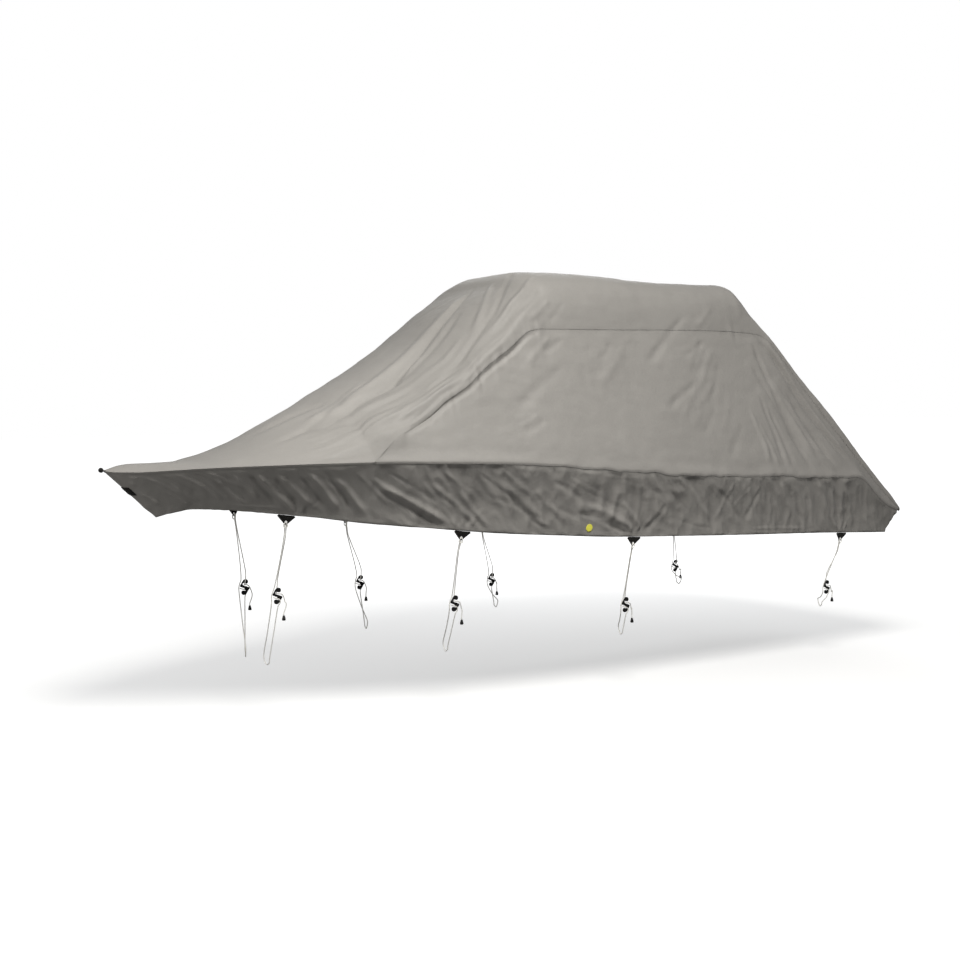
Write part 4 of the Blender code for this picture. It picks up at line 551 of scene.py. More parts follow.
def down_at(x, side):
    yr, zr = rail(x)
    xh, yh, zh = hem(x)
    p, h = stern_bow(np.array([[x, side * yr, zr]]))[0], skirt_line(x, side, np.array([1.0]))[0]
    return p, (h - p) / np.linalg.norm(h - p)


def uneven_rail(P):
    """From midships aft the cloth lies loosely over the rail, and its line wanders a little."""
    zr = rail(np.clip(P[:, 0], -4.57, STERN))[..., 1]
    near = np.exp(-(((P[:, 2] - zr) / 0.060) ** 2)) * smooth((np.abs(P[:, 1]) - 0.80) / 0.2) * smooth((P[:, 0] + 2.0) / 1.2) * smooth((2.10 - P[:, 0]) / 0.3)
    flat = P * np.array([1.0, 0.25, 0.25])
    up = 0.013 * flow(flat, 0.22, 31) + 0.009 * flow(flat, 0.100, 32)
    out = 0.006 * flow(flat, 0.13, 33) * np.sign(P[:, 1])
    return P + near[:, None] * np.stack([0 * up, out, up], -1)


def sheet_mesh(name, P, faces, uv, far, tone):
    """A mesh object from points, faces, flat coordinates in metres, and for each point the distance to the nearest seam or hem."""
    P = uneven_rail(P)
    me = bpy.data.meshes.new(name)
    me.from_pydata([tuple(p) for p in P - ORIGIN], [], faces)
    loops = np.zeros(len(me.loops), int)
    me.loops.foreach_get("vertex_index", loops)
    for layer, data in (("cloth", uv), ("edge", far)):
        lay = me.uv_layers.new(name=layer)
        lay.data.foreach_set("uv", data[loops].astype(float).ravel())
    att = me.attributes.new("tone", "FLOAT", "POINT")
    att.data.foreach_set("value", tone.astype(float))
    me.polygons.foreach_set("use_smooth", np.ones(len(me.polygons), bool))
    me.update()
    ob = bpy.data.objects.new(name, me)
    bpy.context.scene.collection.objects.link(ob)
    mod = ob.modifiers.new("thickness", "SOLIDIFY")
    mod.thickness = THICK
    mod.offset = -1.0
    mod.use_rim = True
    return ob


def grid_faces(rows, cols, flip=False, start=0, close=False):
    out = []
    for i in range(rows - 1 + (1 if close else 0)):
        a, b = start + i * cols, start + ((i + 1) % rows) * cols
        for j in range(cols - 1):
            f = (a + j, a + j + 1, b + j + 1, b + j)
            out.append(f[::-1] if flip else f)
    return out


def seam_tone(s, depth=0.045, width=0.0055):
    """Darker along a seam, with a faint light line where the lap ends."""
    return 1 - depth * np.exp(-((s / width) ** 2)) - 0.02 * np.exp(-(((s - 0.014) / 0.010) ** 2))


def middle_panel():
    """One cloth from the bow over the top and down the back, with its edge turned down round the bow and across the stern."""
    port, starboard = 80, 44
    n = port + starboard
    u = np.concatenate([np.linspace(-1, 0, port + 1), np.linspace(0, 1, starboard + 1)[1:]])
    c = np.sign(u) * (1 - (1 - np.abs(u)) ** 1.22)
    P, uv, far, tone = [], [], [], []
    turned, turned_uv, turned_far, turned_tone = [], [], [], []
    last = None
    for k, x in enumerate(XS):
        L = LENGTHS[k, 0]
        s = (1 - np.abs(c)) * L
        run = np.full(c.shape, SEAM_RUN[k])
        row, N, h = shape_top(x, c, s, run)
        if k == 0:
            row[:, 0] -= BOW_ROUND * (1 - c * c)
        if x >= XJ:
            # the edge lies on the side panel: raised a little, and slightly rolled at the very edge
            on = smooth((x - XJ) / 0.06)
            row = row + N * (on * (0.0004 * np.exp(-((s / 0.016) ** 2)) - 0.0003 * np.exp(-((s / 0.004) ** 2))))[:, None]
        centre = row[port]
        along = 0.0 if last is None else along + np.linalg.norm(centre - last)
        last = centre
        if x <= XJ + 0.004:
            # turned edge, port and starboard
            for side, j, i in ((-1, 0, 1), (1, n, n - 1)):
                p, d = down_at(x, side)
                if k == 0:
                    p = row[j].copy()
                a, rows = corner_rows(p, row[i], d, (0.0145, 0.0175, TURN))
                row[j] = a if k else row[j]
                turned.append(rows)
        P.append(row)
        uv.append(np.stack([np.sign(c) * (L - s), np.full(c.shape, along)], -1))
        bow = smooth((XJ - 0.02 - x) / 0.03)
        far.append(np.stack([s * (1 - bow) + (s + TURN) * bow, run], -1))
        # painted light and shade: the cloth is lighter where it stands out and darker where it sinks in
        t = 1 + 2.2 * np.clip(h, -0.02, 0.02)
        seam_on = smooth((x - XJ - 0.06) / 0.30)
        t = t * (1 - seam_on * (1 - seam_tone(s)))
        # painted light and shade: the deck and the middle of the bow slope lighter, the upper slope and the roof
        # darker, for how the light falls on them
        t = t * (1 + 0.09 * smooth((-2.7 - x) / 0.8) + 0.12 * smooth((0.62 - np.abs(c)) / 0.40) * smooth((x + 3.7) / 0.6) * smooth((-1.95 - x) / 0.5)
                 - 0.11 * smooth((x + 2.9) / 0.8) * smooth((-1.35 - x) / 0.2) - 0.11 * smooth((x + 1.65) / 0.4) * smooth((0.9 - x) / 0.3))
        # painted shade: below the last pucker, where the cloth lies as the side panel does, it is darkened to the side
        # panel's shade, more to port than to starboard
        low = smooth((np.abs(c) - np.interp(x, LOW_X, LOW_C)) / 0.030) * smooth((x + 3.42) / 0.14) * smooth((-2.60 - x) / 0.14)
        t = t * (1 - np.where(c < 0, 0.055, 0.025) * low)
        tone.append(t)
    rows, cols = len(P), n + 1
    P, uv, far, tone = np.concatenate(P), np.concatenate(uv), np.concatenate(far), np.concatenate(tone)
    faces = grid_faces(rows, cols)
    # the turned edge round the bow: a chain of columns from the starboard joint round the tip to the port joint
    m = len(turned) // 2
    chain = [(k * cols + cols - 1, turned[2 * k + 1]) for k in range(m - 1, -1, -1)]
    tip_row = list(range(cols - 2, 0, -1))
    stem = np.array([hem(-4.57)[0] - 0.010, 0.0, hem(-4.57)[2] - 0.002])
    for j in tip_row:
        p = P[j]
        target = stem + np.array([0.0, 0.014 * c[j], 0.0])
        d = (target - p) / np.linalg.norm(target - p)
        chain.append((j, corner_rows(p, P[j + cols], d, (0.0145, 0.0175, TURN))[1]))
    chain += [(k * cols, turned[2 * k]) for k in range(m)]
    P, uv, far, tone, faces = weld_edge(P, uv, far, tone, faces, chain)
    # the turned edge across the stern
    base = (rows - 1) * cols
    chain = []
    for j in range(cols):
        p = P[base + j].copy()
        y = p[1] * 1.092 / 1.140
        target = np.array([2.120 + STERN_ROUND * 0.95 * (1 - (y / 1.15) ** 2), y, 1.050 - 0.004 * math.sin(3 * math.pi * j / cols)])
        d = (target - p) / np.linalg.norm(target - p)
        a, r = corner_rows(p, P[base - cols + j], d, (0.0145, 0.0175, TURN))
        P[base + j] = a
        chain.append((base + j, r))
    P, uv, far, tone, faces = weld_edge(P, uv, far, tone, faces, chain)
    return sheet_mesh("cloth_middle_panel", P, faces, uv, far, tone)


def weld_edge(P, uv, far, tone, faces, chain):
    """Adds rows that hang from a chain of existing points."""
    P, uv, far, tone = list(P), list(uv), list(far), list(tone)
    ids = []
    for v, rows in chain:
        col = [v]
        before, out = P[v], 0.0
        for r in rows:
            out += float(np.linalg.norm(r - before))
            before = r
            col.append(len(P))
            P.append(r)
            uv.append(uv[v] + np.array([math.copysign(out, uv[v][0]), 0.0]))
            far.append(np.array([max(TURN + 0.012 - out, 0.0), far[v][1]]))
            tone.append(1.02 if out < 0.018 else 0.97)
        ids.append(col)
    for a, b in zip(ids, ids[1:]):
        for i in range(len(a) - 1):
            faces.append((a[i], b[i], b[i + 1], a[i + 1]))
    return np.array(P), np.array(uv), np.array(far), np.array(tone), faces


def side_panel(name, side):
    """One flank: its top edge runs under the middle panel, its foot turns down over the rail."""
    n = 62
    xs = [XJ + 0.0025] + [x for x in XS if x > XJ + 0.008 and x < STERN - 0.008] + [STERN - 0.003]
    P, uv, far, tone = [], [], [], []
    for x in xs:
        Lm, Ls = half_length(x)
        along = float(np.interp(x, XS, SEAM_RUN))
        t = np.linspace(0, 1, n + 1)
        t = t + 0.10 * np.sin(2 * np.pi * t) / (2 * np.pi) * -1
        t = t * max(0.5, 1 - 0.012 / Ls)
        t[-1] = 1.0
        s = t * Ls
        run = np.full(t.shape, along)
        row, N, h = shape_top(x, side * (1 + t), s, run)
        # two points under the middle panel
        lap, Nl, hl = shape_top(x, side * np.array([1 - LAP / Lm, 1 - 0.5 * LAP / Lm]), np.array([LAP, LAP / 2]), run[:2])
        fade = smooth((x - XJ - 0.04) / 0.30)
        row = row - N * ((0.0002 + 0.0005 * fade) * np.exp(-((s / 0.007) ** 2)))[:, None]
        lap = lap - Nl * 0.0009
        p, d = down_at(x, side)
        a, foot = corner_rows(p, row[-2], d, (0.0145, 0.0175, TURN))
        row[-1] = a
        col = np.concatenate([lap, row, np.array(foot)])
        step = np.concatenate([[0], np.cumsum(np.linalg.norm(np.diff(col, axis=0), axis=1))])
        P.append(col)
        uv.append(np.stack([step - LAP, np.full(len(col), x)], -1))
        end = step[-1] - step
        near = np.minimum(np.concatenate([[0, 0], s, np.full(len(foot), 1.0)]), end + 0.012)
        far.append(np.stack([near, np.full(len(col), along)], -1))
        # painted light and shade: the cloth is lighter where it stands out and darker where it sinks in
        tn = 1 + 2.2 * np.clip(np.concatenate([hl, h, np.zeros(len(foot))]), -0.02, 0.02)
        tn[2 : 2 + len(s)] *= seam_tone(s, 0.05 * float(fade))
        tn[-len(foot) :] = 1.02
        tn[-1] = 0.97
        tone.append(tn)
    rows, cols = len(P), len(P[0])
    ob = sheet_mesh(name, np.concatenate(P), grid_faces(rows, cols, flip=side > 0), np.concatenate(uv), np.concatenate(far), np.concatenate(tone))
    return ob


def skirt_loop():
    """Rail point, hem point, and how far round, all the way round: down the port side, across the stern, up the starboard side, round the stem."""
    out = []
    xs, x = [-4.570], -4.570
    while x < STERN - 1e-6:
        x = min(x + (0.011 if x < -4.4 else 0.0132), STERN)
        if STERN - x < 0.005:
            x = STERN
        xs.append(x)
    tip = top_row(-4.570, np.array([-1.0, 0.0, 1.0]))
    tip[:, 0] -= BOW_ROUND * np.array([0.0, 1.0, 0.0])

    def flank(side):
        run = []
        for k, x in enumerate(xs):
            yr, zr = rail(x)
            p = stern_bow(np.array([[x, side * yr, zr]]))[0]
            run.append((p, skirt_line(x, side, np.array([1.0]))[0]))
        return run

    port, starboard = flank(-1), flank(1)
    stern = []
    c = np.linspace(-1, 1, 131)[1:-1]
    q = top_row(STERN, c)
    for j in range(len(c)):
        y = q[j, 1] * 1.092 / 1.140
        stern.append((q[j], np.array([2.120 + STERN_ROUND * 0.95 * (1 - (y / 1.15) ** 2), y, 1.050 - 0.004 * math.sin(3 * math.pi * (c[j] + 1) / 2)])))
    stem_hem = np.array([hem(-4.57)[0] - 0.010, 0.0, hem(-4.57)[2] - 0.002])
    stem = []
    for t in (0.75, 0.5, 0.25, 0.0, -0.25, -0.5, -0.75):
        p = np.array([-4.570 - BOW_ROUND * (1 - t * t), 0.035 * t, rail(-4.57)[1] + (top(-4.57)[0] - rail(-4.57)[1]) * (1 - t * t)])
        h = stem_hem + np.array([0.010 * t * t, 0.014 * t, 0.002 * t * t])
        stem.append((p, h))
    return port + stern + starboard[::-1] + stem


def skirt():
    loop = skirt_loop()
    n, m = len(loop), 40
    t = np.linspace(0, 1, m)
    rows = t - 0.055 * np.sin(2 * np.pi * t)
    p, h = np.array([a for a, _ in loop]), np.array([b for _, b in loop])
    L = np.linalg.norm(h - p, axis=1)
    v0 = 0.011 / L
    v = v0[:, None] + (1 - v0[:, None]) * rows[None]
    G = p[:, None] * (1 - v[..., None]) + h[:, None] * v[..., None]
    # round the corners of the stern and the stem
    for _ in range(5):
        G = G * 0.5 + (np.roll(G, 1, 0) + np.roll(G, -1, 0)) * 0.25
    N = np.cross(np.gradient(G, axis=1), np.roll(G, -1, 0) - np.roll(G, 1, 0))
    N /= np.maximum(np.linalg.norm(N, axis=-1, keepdims=True), 1e-12)
    for _ in range(4):
        N = N * 0.5 + (np.roll(N, 1, 0) + np.roll(N, -1, 0)) * 0.25
    N /= np.linalg.norm(N, axis=-1, keepdims=True)
    if (N[..., :2] * (G[..., :2] - np.array([-0.9, 0.0]))).sum(-1).mean() < 0:
        N = -N
    s_top = (v - 0.0) * L[:, None]            # distance below the rail
    s_hem = (1 - v) * L[:, None]              # distance above the hem
    run = np.concatenate([[0], np.cumsum(np.linalg.norm(np.diff(G[:, -1], axis=0), axis=1))])
    fore = smooth((G[..., 0] + 4.15) / 0.5)
    tuck = -0.012 * np.sin(np.pi * rows)[None] * fore
    R = relief(G, SKIRT_LINES)
    w = smooth((s_top - TURN) / 0.035) * smooth(s_hem / 0.020 + 0.25) * (0.80 + 0.20 * fore)
    at = np.stack([np.broadcast_to(run[:, None], v.shape), 0 * v, 0 * v], -1)
    # the draw of the hem puckers it between the stitches, and the join gathers the cloth under the rail
    pull = 0.0030 * (0.6 * noise(at, 0.060, 21) + 0.5 * noise(at, 0.034, 22)) * np.exp(-((s_hem / 0.055) ** 1.5))
    join = 0.0022 * (0.6 * noise(at, 0.050, 23) + 0.5 * noise(at, 0.027, 24)) * np.exp(-(((s_top - TURN) / 0.05) ** 2))
    # coarse and fine crumple that runs mostly downwards and aft
    lean = G + np.array([0.35, 0.0, 0.0]) * (G[..., 2:3] - 1.5)
    warp = 0.06 * flow(lean, 0.35, 28)[..., None] * np.array([1.0, 0.0, 0.6])
    crush = 0.0080 * flow(lean, (0.19, 0.34, 0.34), 25) + 0.0150 * (0.35 - np.abs(flow(lean + warp, (0.120, 0.22, 0.28), 26)))
    crush = crush + 0.0085 * (0.35 - np.abs(flow(lean + warp, (0.060, 0.10, 0.15), 27)))
    band = 0.0009 * smooth((HEM_BAND - s_hem) / 0.004)
    under = -0.0008 * smooth((TURN + 0.004 - s_top) / 0.006)
    w = w * (1 - 0.85 * np.exp(-((np.linalg.norm(G - PATCH_AT, axis=-1) / 0.060) ** 2)))
    w = w * (1 - 0.92 * np.exp(-((np.linalg.norm(G - STEM_AT, axis=-1) / 0.085) ** 2)))
    height = (R + 0.6 * sag(G) + crush * (0.55 + 0.45 * smooth((G[..., 0] + 3.3) / 0.8))) * w + (pull + join) * smooth((s_top - TURN + 0.004) / 0.02)
    G = G + N * (tuck + height + band + under)[..., None]
    P = G.reshape(-1, 3)
    uv = np.stack([s_hem, at[..., 0]], -1).reshape(-1, 2)
    far = np.stack([np.minimum(s_hem, np.abs(s_top - TURN) + 0.001), at[..., 0]], -1).reshape(-1, 2)
    # painted light and shade: the skirt is lighter where it stands out in its creases and crumples, darker where it
    # sinks in
    tone = 1 + 6.0 * np.clip(height, -0.015, 0.015)
    tone = tone * (1 - 0.05 * np.exp(-(((s_top - TURN) / 0.010) ** 2))) * (1 - 0.10 * np.exp(-(((s_hem - HEM_BAND) / 0.003) ** 2)))
    # painted shade: the skirt darker from midships aft
    tone = tone * (1 - 0.07 * smooth((G[..., 0] + 2.9) / 1.2))
    ob = sheet_mesh("cloth_skirt", P, grid_faces(n, m, close=True), uv, far, tone.ravel())
    return ob, G, N


def outward(ob):
    """Turns the faces of a sheet to the side away from the boat."""
    me = ob.data
    k = len(me.polygons)
    c, n = np.zeros(k * 3), np.zeros(k * 3)
    me.polygons.foreach_get("center", c)
    me.polygons.foreach_get("normal", n)
    c, n = c.reshape(-1, 3), n.reshape(-1, 3)
    middle = np.array([-0.9, 0.0, 1.5]) - np.array([ORIGIN[0], 0.0, ORIGIN[2]])
    if ((c - middle) * n).sum(-1).mean() < 0:
        me.flip_normals()


middle = middle_panel()
flank_port, flank_starboard = side_panel("cloth_side_port", -1), side_panel("cloth_side_starboard", 1)
skirt_cloth, SKIRT_GRID, SKIRT_NORMAL = skirt()
for sheet in (middle, flank_port, flank_starboard, skirt_cloth):
    outward(sheet)

# ---- tabs, ropes, hooks ----
ROPE_D = 0.0080
TAB_DROP, TAB_HOLE_UP, TAB_HALF, TAB_THICK = 0.072, 0.019, 0.059, 0.0030
HOOK_THICK = 0.011
END_D, END_L = 0.0270, 0.0360
# per tie: name, side, middle of the tab's top edge, direction along the hem, direction of the pull (boat's frame)
TAB_FRAMES = [
    ("port_1", -1, (-3.4305, -0.4890, 1.5019), (0.87417, -0.47143, -0.11652), (0.02769, 0.28793, -0.95725)),
    ("port_2", -1, (-2.2429, -0.9400, 1.3413), (0.96912, -0.21336, -0.12361), (-0.04460, 0.34136, -0.93887)),
    ("port_3", -1, (-0.7740, -1.1013, 1.2090), (0.99751, -0.04315, -0.05580), (-0.04350, 0.24649, -0.96817)),
    ("port_4", -1, (1.5228, -1.1173, 1.0867), (0.99747, 0.03353, -0.06274), (-0.06895, 0.23839, -0.96872)),
    ("starboard_1", 1, (-3.4305, 0.4890, 1.5019), (0.87417, 0.47143, -0.11652), (0.02769, -0.28793, -0.95725)),
    ("starboard_2", 1, (-2.2429, 0.9400, 1.3413), (0.96912, 0.21336, -0.12361), (-0.04460, -0.34136, -0.93887)),
    ("starboard_3", 1, (-0.7740, 1.1013, 1.2090), (0.99751, 0.04315, -0.05580), (-0.04350, -0.24649, -0.96817)),
    ("starboard_4", 1, (1.5228, 1.1173, 1.0867), (0.99747, -0.03353, -0.06274), (-0.06895, -0.23839, -0.96872)),
]
HOOK_HALF = [
    (-33, 2), (-38, 9), (-36, 17), (-27, 28), (-19, 41), (-11, 53), (0, 59), (12, 60), (23, 55), (28, 45), (27, 33), (19, 24.5),
    (8, 25.5), (-3, 29), (-12, 31.5), (-18, 28), (-17, 20), (-7, 11.5), (4, 8), (16, 4.5), (26, -2),
]
HITCH = [
    (-4.8, 110.0, 1.0), (-4.8, 62.0, 0.5), (-4.8, 40.0, -0.5), (-4.8, 28.0, -3.0), (-4.7, 20.0, -6.6), (-4.5, 12.0, -7.4), (-4.3, 4.5, -6.9),
    (-4.3, -0.6, -4.2), (-4.3, -2.2, 0.0), (-4.6, -0.6, 4.2), (-6.6, 4.0, 7.1), (-10.5, 11.0, 8.3), (-13.5, 20.0, 8.8), (-12.6, 29.0, 9.8),
    (-7.5, 35.0, 11.2), (0.0, 37.0, 12.0),
]
LOWER_RUN = [(-36, -7.5, 6.5), (-26, -11.5, 10.9), (-10, -16.5, 11.2), (5, -22.5, 11.3), (15, -31, 11.4), (17, -42, 11.2), (10, -58, 9), (2, -72, 4), (-1, -88, 0)]
PAST_RUN = [(-47, -42, -1), (-47.5, -3, 1), (-40, 28, 3), (-28, 54, 4)]
UPPER_RUN = [(7, 120, -6), (6, 88, -10.5), (4, 62, -12), (1, 46, -12.6), (-3, 34, -12.6), (-4.5, 27, -11.8), (-5, 21.5, -8), (-4.5, 19, -1), (-1, 17.6, 6), (8, 16, 11.4), (22, 15, 12.2), (38, 4, 9.5), (49, -20, 5), (57, -46, 2)]
# per tie: hook centre, foot of the loop at the front of the beam, foot at its back, bend of the free end, tip of the free end
TIES = [
    ((-3.431, -0.300, 0.904), (-3.474, -0.225, 0.400), (-3.492, -0.165, 0.425), (-3.372, -0.310, 0.840), (-3.390, -0.310, 0.722)),
    ((-2.208, -0.755, 0.785), (-2.222, -0.665, 0.420), (-2.226, -0.605, 0.445), (-2.152, -0.760, 0.728), (-2.154, -0.760, 0.622)),
    ((-0.756, -0.965, 0.660), (-0.759, -0.930, 0.425), (-0.756, -0.870, 0.450), (-0.700, -0.970, 0.625), (-0.698, -0.970, 0.512)),
    ((1.464, -1.000, 0.604), (1.444, -0.965, 0.440), (1.456, -0.905, 0.462), (1.532, -1.000, 0.562), (1.530, -1.000, 0.470)),
]


def unit(v):
    v = np.asarray(v, float)
    return v / max(np.linalg.norm(v), 1e-12)


def spline(points, step):
    """Centripetal curve through the points, evenly spaced."""
    P = [np.asarray(p, float) for p in points]
    P = [2 * P[0] - P[1]] + P + [2 * P[-1] - P[-2]]
    out = [P[1]]
    for i in range(1, len(P) - 2):
        p0, p1, p2, p3 = P[i - 1 : i + 3]
        t0 = 0.0
        t1 = t0 + max(np.linalg.norm(p1 - p0), 1e-6) ** 0.5
        t2 = t1 + max(np.linalg.norm(p2 - p1), 1e-6) ** 0.5
        t3 = t2 + max(np.linalg.norm(p3 - p2), 1e-6) ** 0.5
        n = max(2, int(round(np.linalg.norm(p2 - p1) / step * 2)))
        for k in range(1, n + 1):
            t = t1 + (t2 - t1) * k / n
            a1 = p0 * (t1 - t) / (t1 - t0) + p1 * (t - t0) / (t1 - t0)
            a2 = p1 * (t2 - t) / (t2 - t1) + p2 * (t - t1) / (t2 - t1)
            a3 = p2 * (t3 - t) / (t3 - t2) + p3 * (t - t2) / (t3 - t2)
            b1 = a1 * (t2 - t) / (t2 - t0) + a2 * (t - t0) / (t2 - t0)
            b2 = a2 * (t3 - t) / (t3 - t1) + a3 * (t - t1) / (t3 - t1)
            out.append(b1 * (t2 - t) / (t2 - t1) + b2 * (t - t1) / (t2 - t1))
    out = np.array(out)
    run = np.concatenate([[0], np.cumsum(np.linalg.norm(np.diff(out, axis=0), axis=1))])
    at = np.linspace(0, run[-1], max(2, int(round(run[-1] / step)) + 1))
    return np.stack([np.interp(at, run, out[:, k]) for k in range(3)], -1), float(run[-1])


def frames_along(path):
    """Directions and steady cross directions along a path."""
    d = np.gradient(path, axis=0)
    d /= np.linalg.norm(d, axis=1, keepdims=True)
    a = unit(np.cross(d[0], [0.3, 0.5, 0.8]))
    A = [a]
    for k in range(1, len(path)):
        a = A[-1] - d[k] * np.dot(A[-1], d[k])
        A.append(unit(a))
    A = np.array(A)
    return d, A, np.cross(d, A)


def new_object(name, verts, faces, uv=None, smooth_faces=True):
    me = bpy.data.meshes.new(name)
    me.from_pydata([tuple(v) for v in np.asarray(verts, float) - ORIGIN], [], faces)
    if uv is not None:
        loops = np.zeros(len(me.loops), int)
        me.loops.foreach_get("vertex_index", loops)
        lay = me.uv_layers.new(name="cloth")
        lay.data.foreach_set("uv", np.asarray(uv, float)[loops].ravel())
    me.polygons.foreach_set("use_smooth", np.full(len(me.polygons), smooth_faces))
    me.update()
    ob = bpy.data.objects.new(name, me)
    bpy.context.scene.collection.objects.link(ob)
    return ob


def rope_mesh(name, path, diameter):
    """A braided rope: a round tube whose surface follows the crossing strands."""
    d, A, B = frames_along(path)
    n = 14
    run = np.concatenate([[0], np.cumsum(np.linalg.norm(np.diff(path, axis=0), axis=1))])
    phi = 2 * np.pi * np.arange(n) / n
    verts, uv = [], []
    for k in range(len(path)):
        ph = 2 * np.pi * run[k] / 0.034
        r = diameter / 2 * (1 + 0.045 * np.sin(7 * phi / 2 * 2 + ph * 3) * np.sin(7 * phi - ph * 3) - 0.01)
        verts.append(path[k] + r[:, None] * (np.cos(phi)[:, None] * A[k] + np.sin(phi)[:, None] * B[k]))
        uv.append(np.stack([phi / (2 * np.pi), np.full(n, run[k])], -1))
    faces = []
    for k in range(len(path) - 1):
        for i in range(n):
            faces.append((k * n + i, k * n + (i + 1) % n, (k + 1) * n + (i + 1) % n, (k + 1) * n + i))
    verts, uv = np.concatenate(verts), np.concatenate(uv)
    caps = len(verts)
    verts = np.concatenate([verts, [path[0] - d[0] * diameter * 0.18, path[-1] + d[-1] * diameter * 0.18]])
    uv = np.concatenate([uv, [[0.5, 0.0], [0.5, run[-1]]]])
    last = (len(path) - 1) * n
    faces += [(caps, (i + 1) % n, i) for i in range(n)] + [(caps + 1, last + i, last + (i + 1) % n) for i in range(n)]
    return new_object(name, verts, faces, uv)


def chaikin(points, times):
    P = np.array(points, float)
    for _ in range(times):
        Q = np.roll(P, -1, 0)
        P = np.stack([P * 0.75 + Q * 0.25, P * 0.25 + Q * 0.75], 1).reshape(-1, 2)
    return P


def inset(P, dist):
    """Moves a closed counterclockwise outline inwards."""
    t = np.roll(P, -1, 0) - np.roll(P, 1, 0)
    t /= np.linalg.norm(t, axis=1, keepdims=True)
    return P + np.stack([-t[:, 1], t[:, 0]], -1) * dist


def moulded_plate(name, outline, rings, place):
    """A moulded plate: the outline inset by each ring's amount at each ring's height, closed by flat faces. place maps (a, b, w) to a point."""
    P = np.array(outline, float)
    area = (P[:, 0] * np.roll(P[:, 1], -1) - P[:, 1] * np.roll(P[:, 0], -1)).sum()
    if area < 0:
        P = P[::-1]
    verts, uv = [], []
    for off, w in rings:
        for a, b in inset(P, off):
            verts.append(place(a, b, w))
            uv.append((a, b))
    n = len(P)
    faces = []
    for k in range(len(rings) - 1):
        for i in range(n):
            faces.append((k * n + i, k * n + (i + 1) % n, (k + 1) * n + (i + 1) % n, (k + 1) * n + i))
    faces.append(tuple(range(n))[::-1])
    faces.append(tuple(range((len(rings) - 1) * n, len(rings) * n)))
    ob = new_object(name, verts, faces, uv)
    bm = bmesh.new()
    bm.from_mesh(ob.data)
    bmesh.ops.recalc_face_normals(bm, faces=bm.faces)
    bm.to_mesh(ob.data)
    bm.free()
    ob.data.polygons.foreach_set("use_smooth", np.array([len(p.vertices) == 4 for p in ob.data.polygons]))
    return ob


def tab_mesh(name, o, along, pull, out):
    """A triangular webbing tab with bound edges, folded tip, stitching ridges and an eyelet."""
    hole_d, r_in, r_out = TAB_DROP - TAB_HOLE_UP, 0.0102, 0.0165
    rows, cols = 26, 31
    verts, uv, faces = [], [], []

    def half_width(d):
        return max(TAB_HALF * (1 - max(d - 0.006, 0.0) / (TAB_DROP - 0.008)) + 0.0095, 0.0095) if d > 0.006 else TAB_HALF

    grid = []
    for i in range(rows):
        d = TAB_DROP * (i / (rows - 1))
        hw = half_width(d) if d < TAB_DROP - 0.004 else half_width(TAB_DROP - 0.004) * math.sqrt(max(0.05, 1 - ((d - TAB_DROP + 0.004) / 0.0045) ** 2))
        for j in range(cols):
            a = hw * (2 * j / (cols - 1) - 1)
            grid.append((a, d, hw))
    G = np.array(grid)
    a, d, hw = G[:, 0], G[:, 1], G[:, 2]
    # push points out of the eyelet's hole
    r = np.hypot(a, d - hole_d)
    edge = np.minimum(hw - np.abs(a), TAB_DROP - d)
    k = r < r_in
    rr = np.maximum(r, 1e-6)
    a2, d2 = np.where(k, a / rr * r_in, a), np.where(k, (d - hole_d) / rr * r_in + hole_d, d)
    bind = 0.0007 * smooth((0.0075 - edge) / 0.0015)
    stitch = -0.0005 * np.exp(-(((edge - 0.0095) / 0.0011) ** 2)) - 0.0005 * np.exp(-(((edge - 0.0055) / 0.0011) ** 2))
    puff = 0.0012 * smooth(edge / 0.02) * np.exp(-(((d - 0.02) / 0.02) ** 2)) + 0.0008 * np.sin(a / 0.018) * smooth(edge / 0.01)
    lift = bind + stitch + puff
    for face in (1, -1):
        for m in range(len(a2)):
            verts.append(o + along * a2[m] + pull * d2[m] + out * (face * (TAB_THICK / 2 - 0.0004) + lift[m]))
            uv.append((a2[m], d2[m]))
    size = rows * cols
    for i in range(rows - 1):
        for j in range(cols - 1):
            q = [i * cols + j, i * cols + j + 1, (i + 1) * cols + j + 1, (i + 1) * cols + j]
            if all(k[v] for v in q):
                continue
            if sum(k[v] for v in q) >= 3 and np.hypot(a2[q].mean(), d2[q].mean() - hole_d) < r_in * 0.97:
                continue
            faces.append(tuple(q))
            faces.append(tuple(v + size for v in q[::-1]))
    # close the rims
    count = {}
    for f in faces:
        if f[0] < size:
            for x, y in zip(f, f[1:] + f[:1]):
                count[(x, y)] = count.get((x, y), 0) + 1
    for x, y in list(count):
        if (y, x) not in count:
            faces.append((y, x, x + size, y + size))
    body = new_object(name, verts, faces, uv)
    bm = bmesh.new()
    bm.from_mesh(body.data)
    bmesh.ops.recalc_face_normals(bm, faces=bm.faces)
    loose = [v for v in bm.verts if not v.link_faces]
    bmesh.ops.delete(bm, geom=loose, context="VERTS")
    bm.to_mesh(body.data)
    bm.free()
    # the eyelet ring
    verts, faces = [], []
    n, m = 28, 8
    for i in range(n):
        t = 2 * math.pi * i / n
        for j in range(m):
            s = 2 * math.pi * j / m
            rad = 0.0118 + 0.0019 * math.cos(s)
            verts.append(o + along * rad * math.cos(t) + pull * (hole_d + rad * math.sin(t)) + out * (0.0024 * math.sin(s)))
            faces.append((i * m + j, i * m + (j + 1) % m, ((i + 1) % n) * m + (j + 1) % m, ((i + 1) % n) * m + j))
    ring = new_object(name + "_eyelet", verts, faces)
    return body, ring


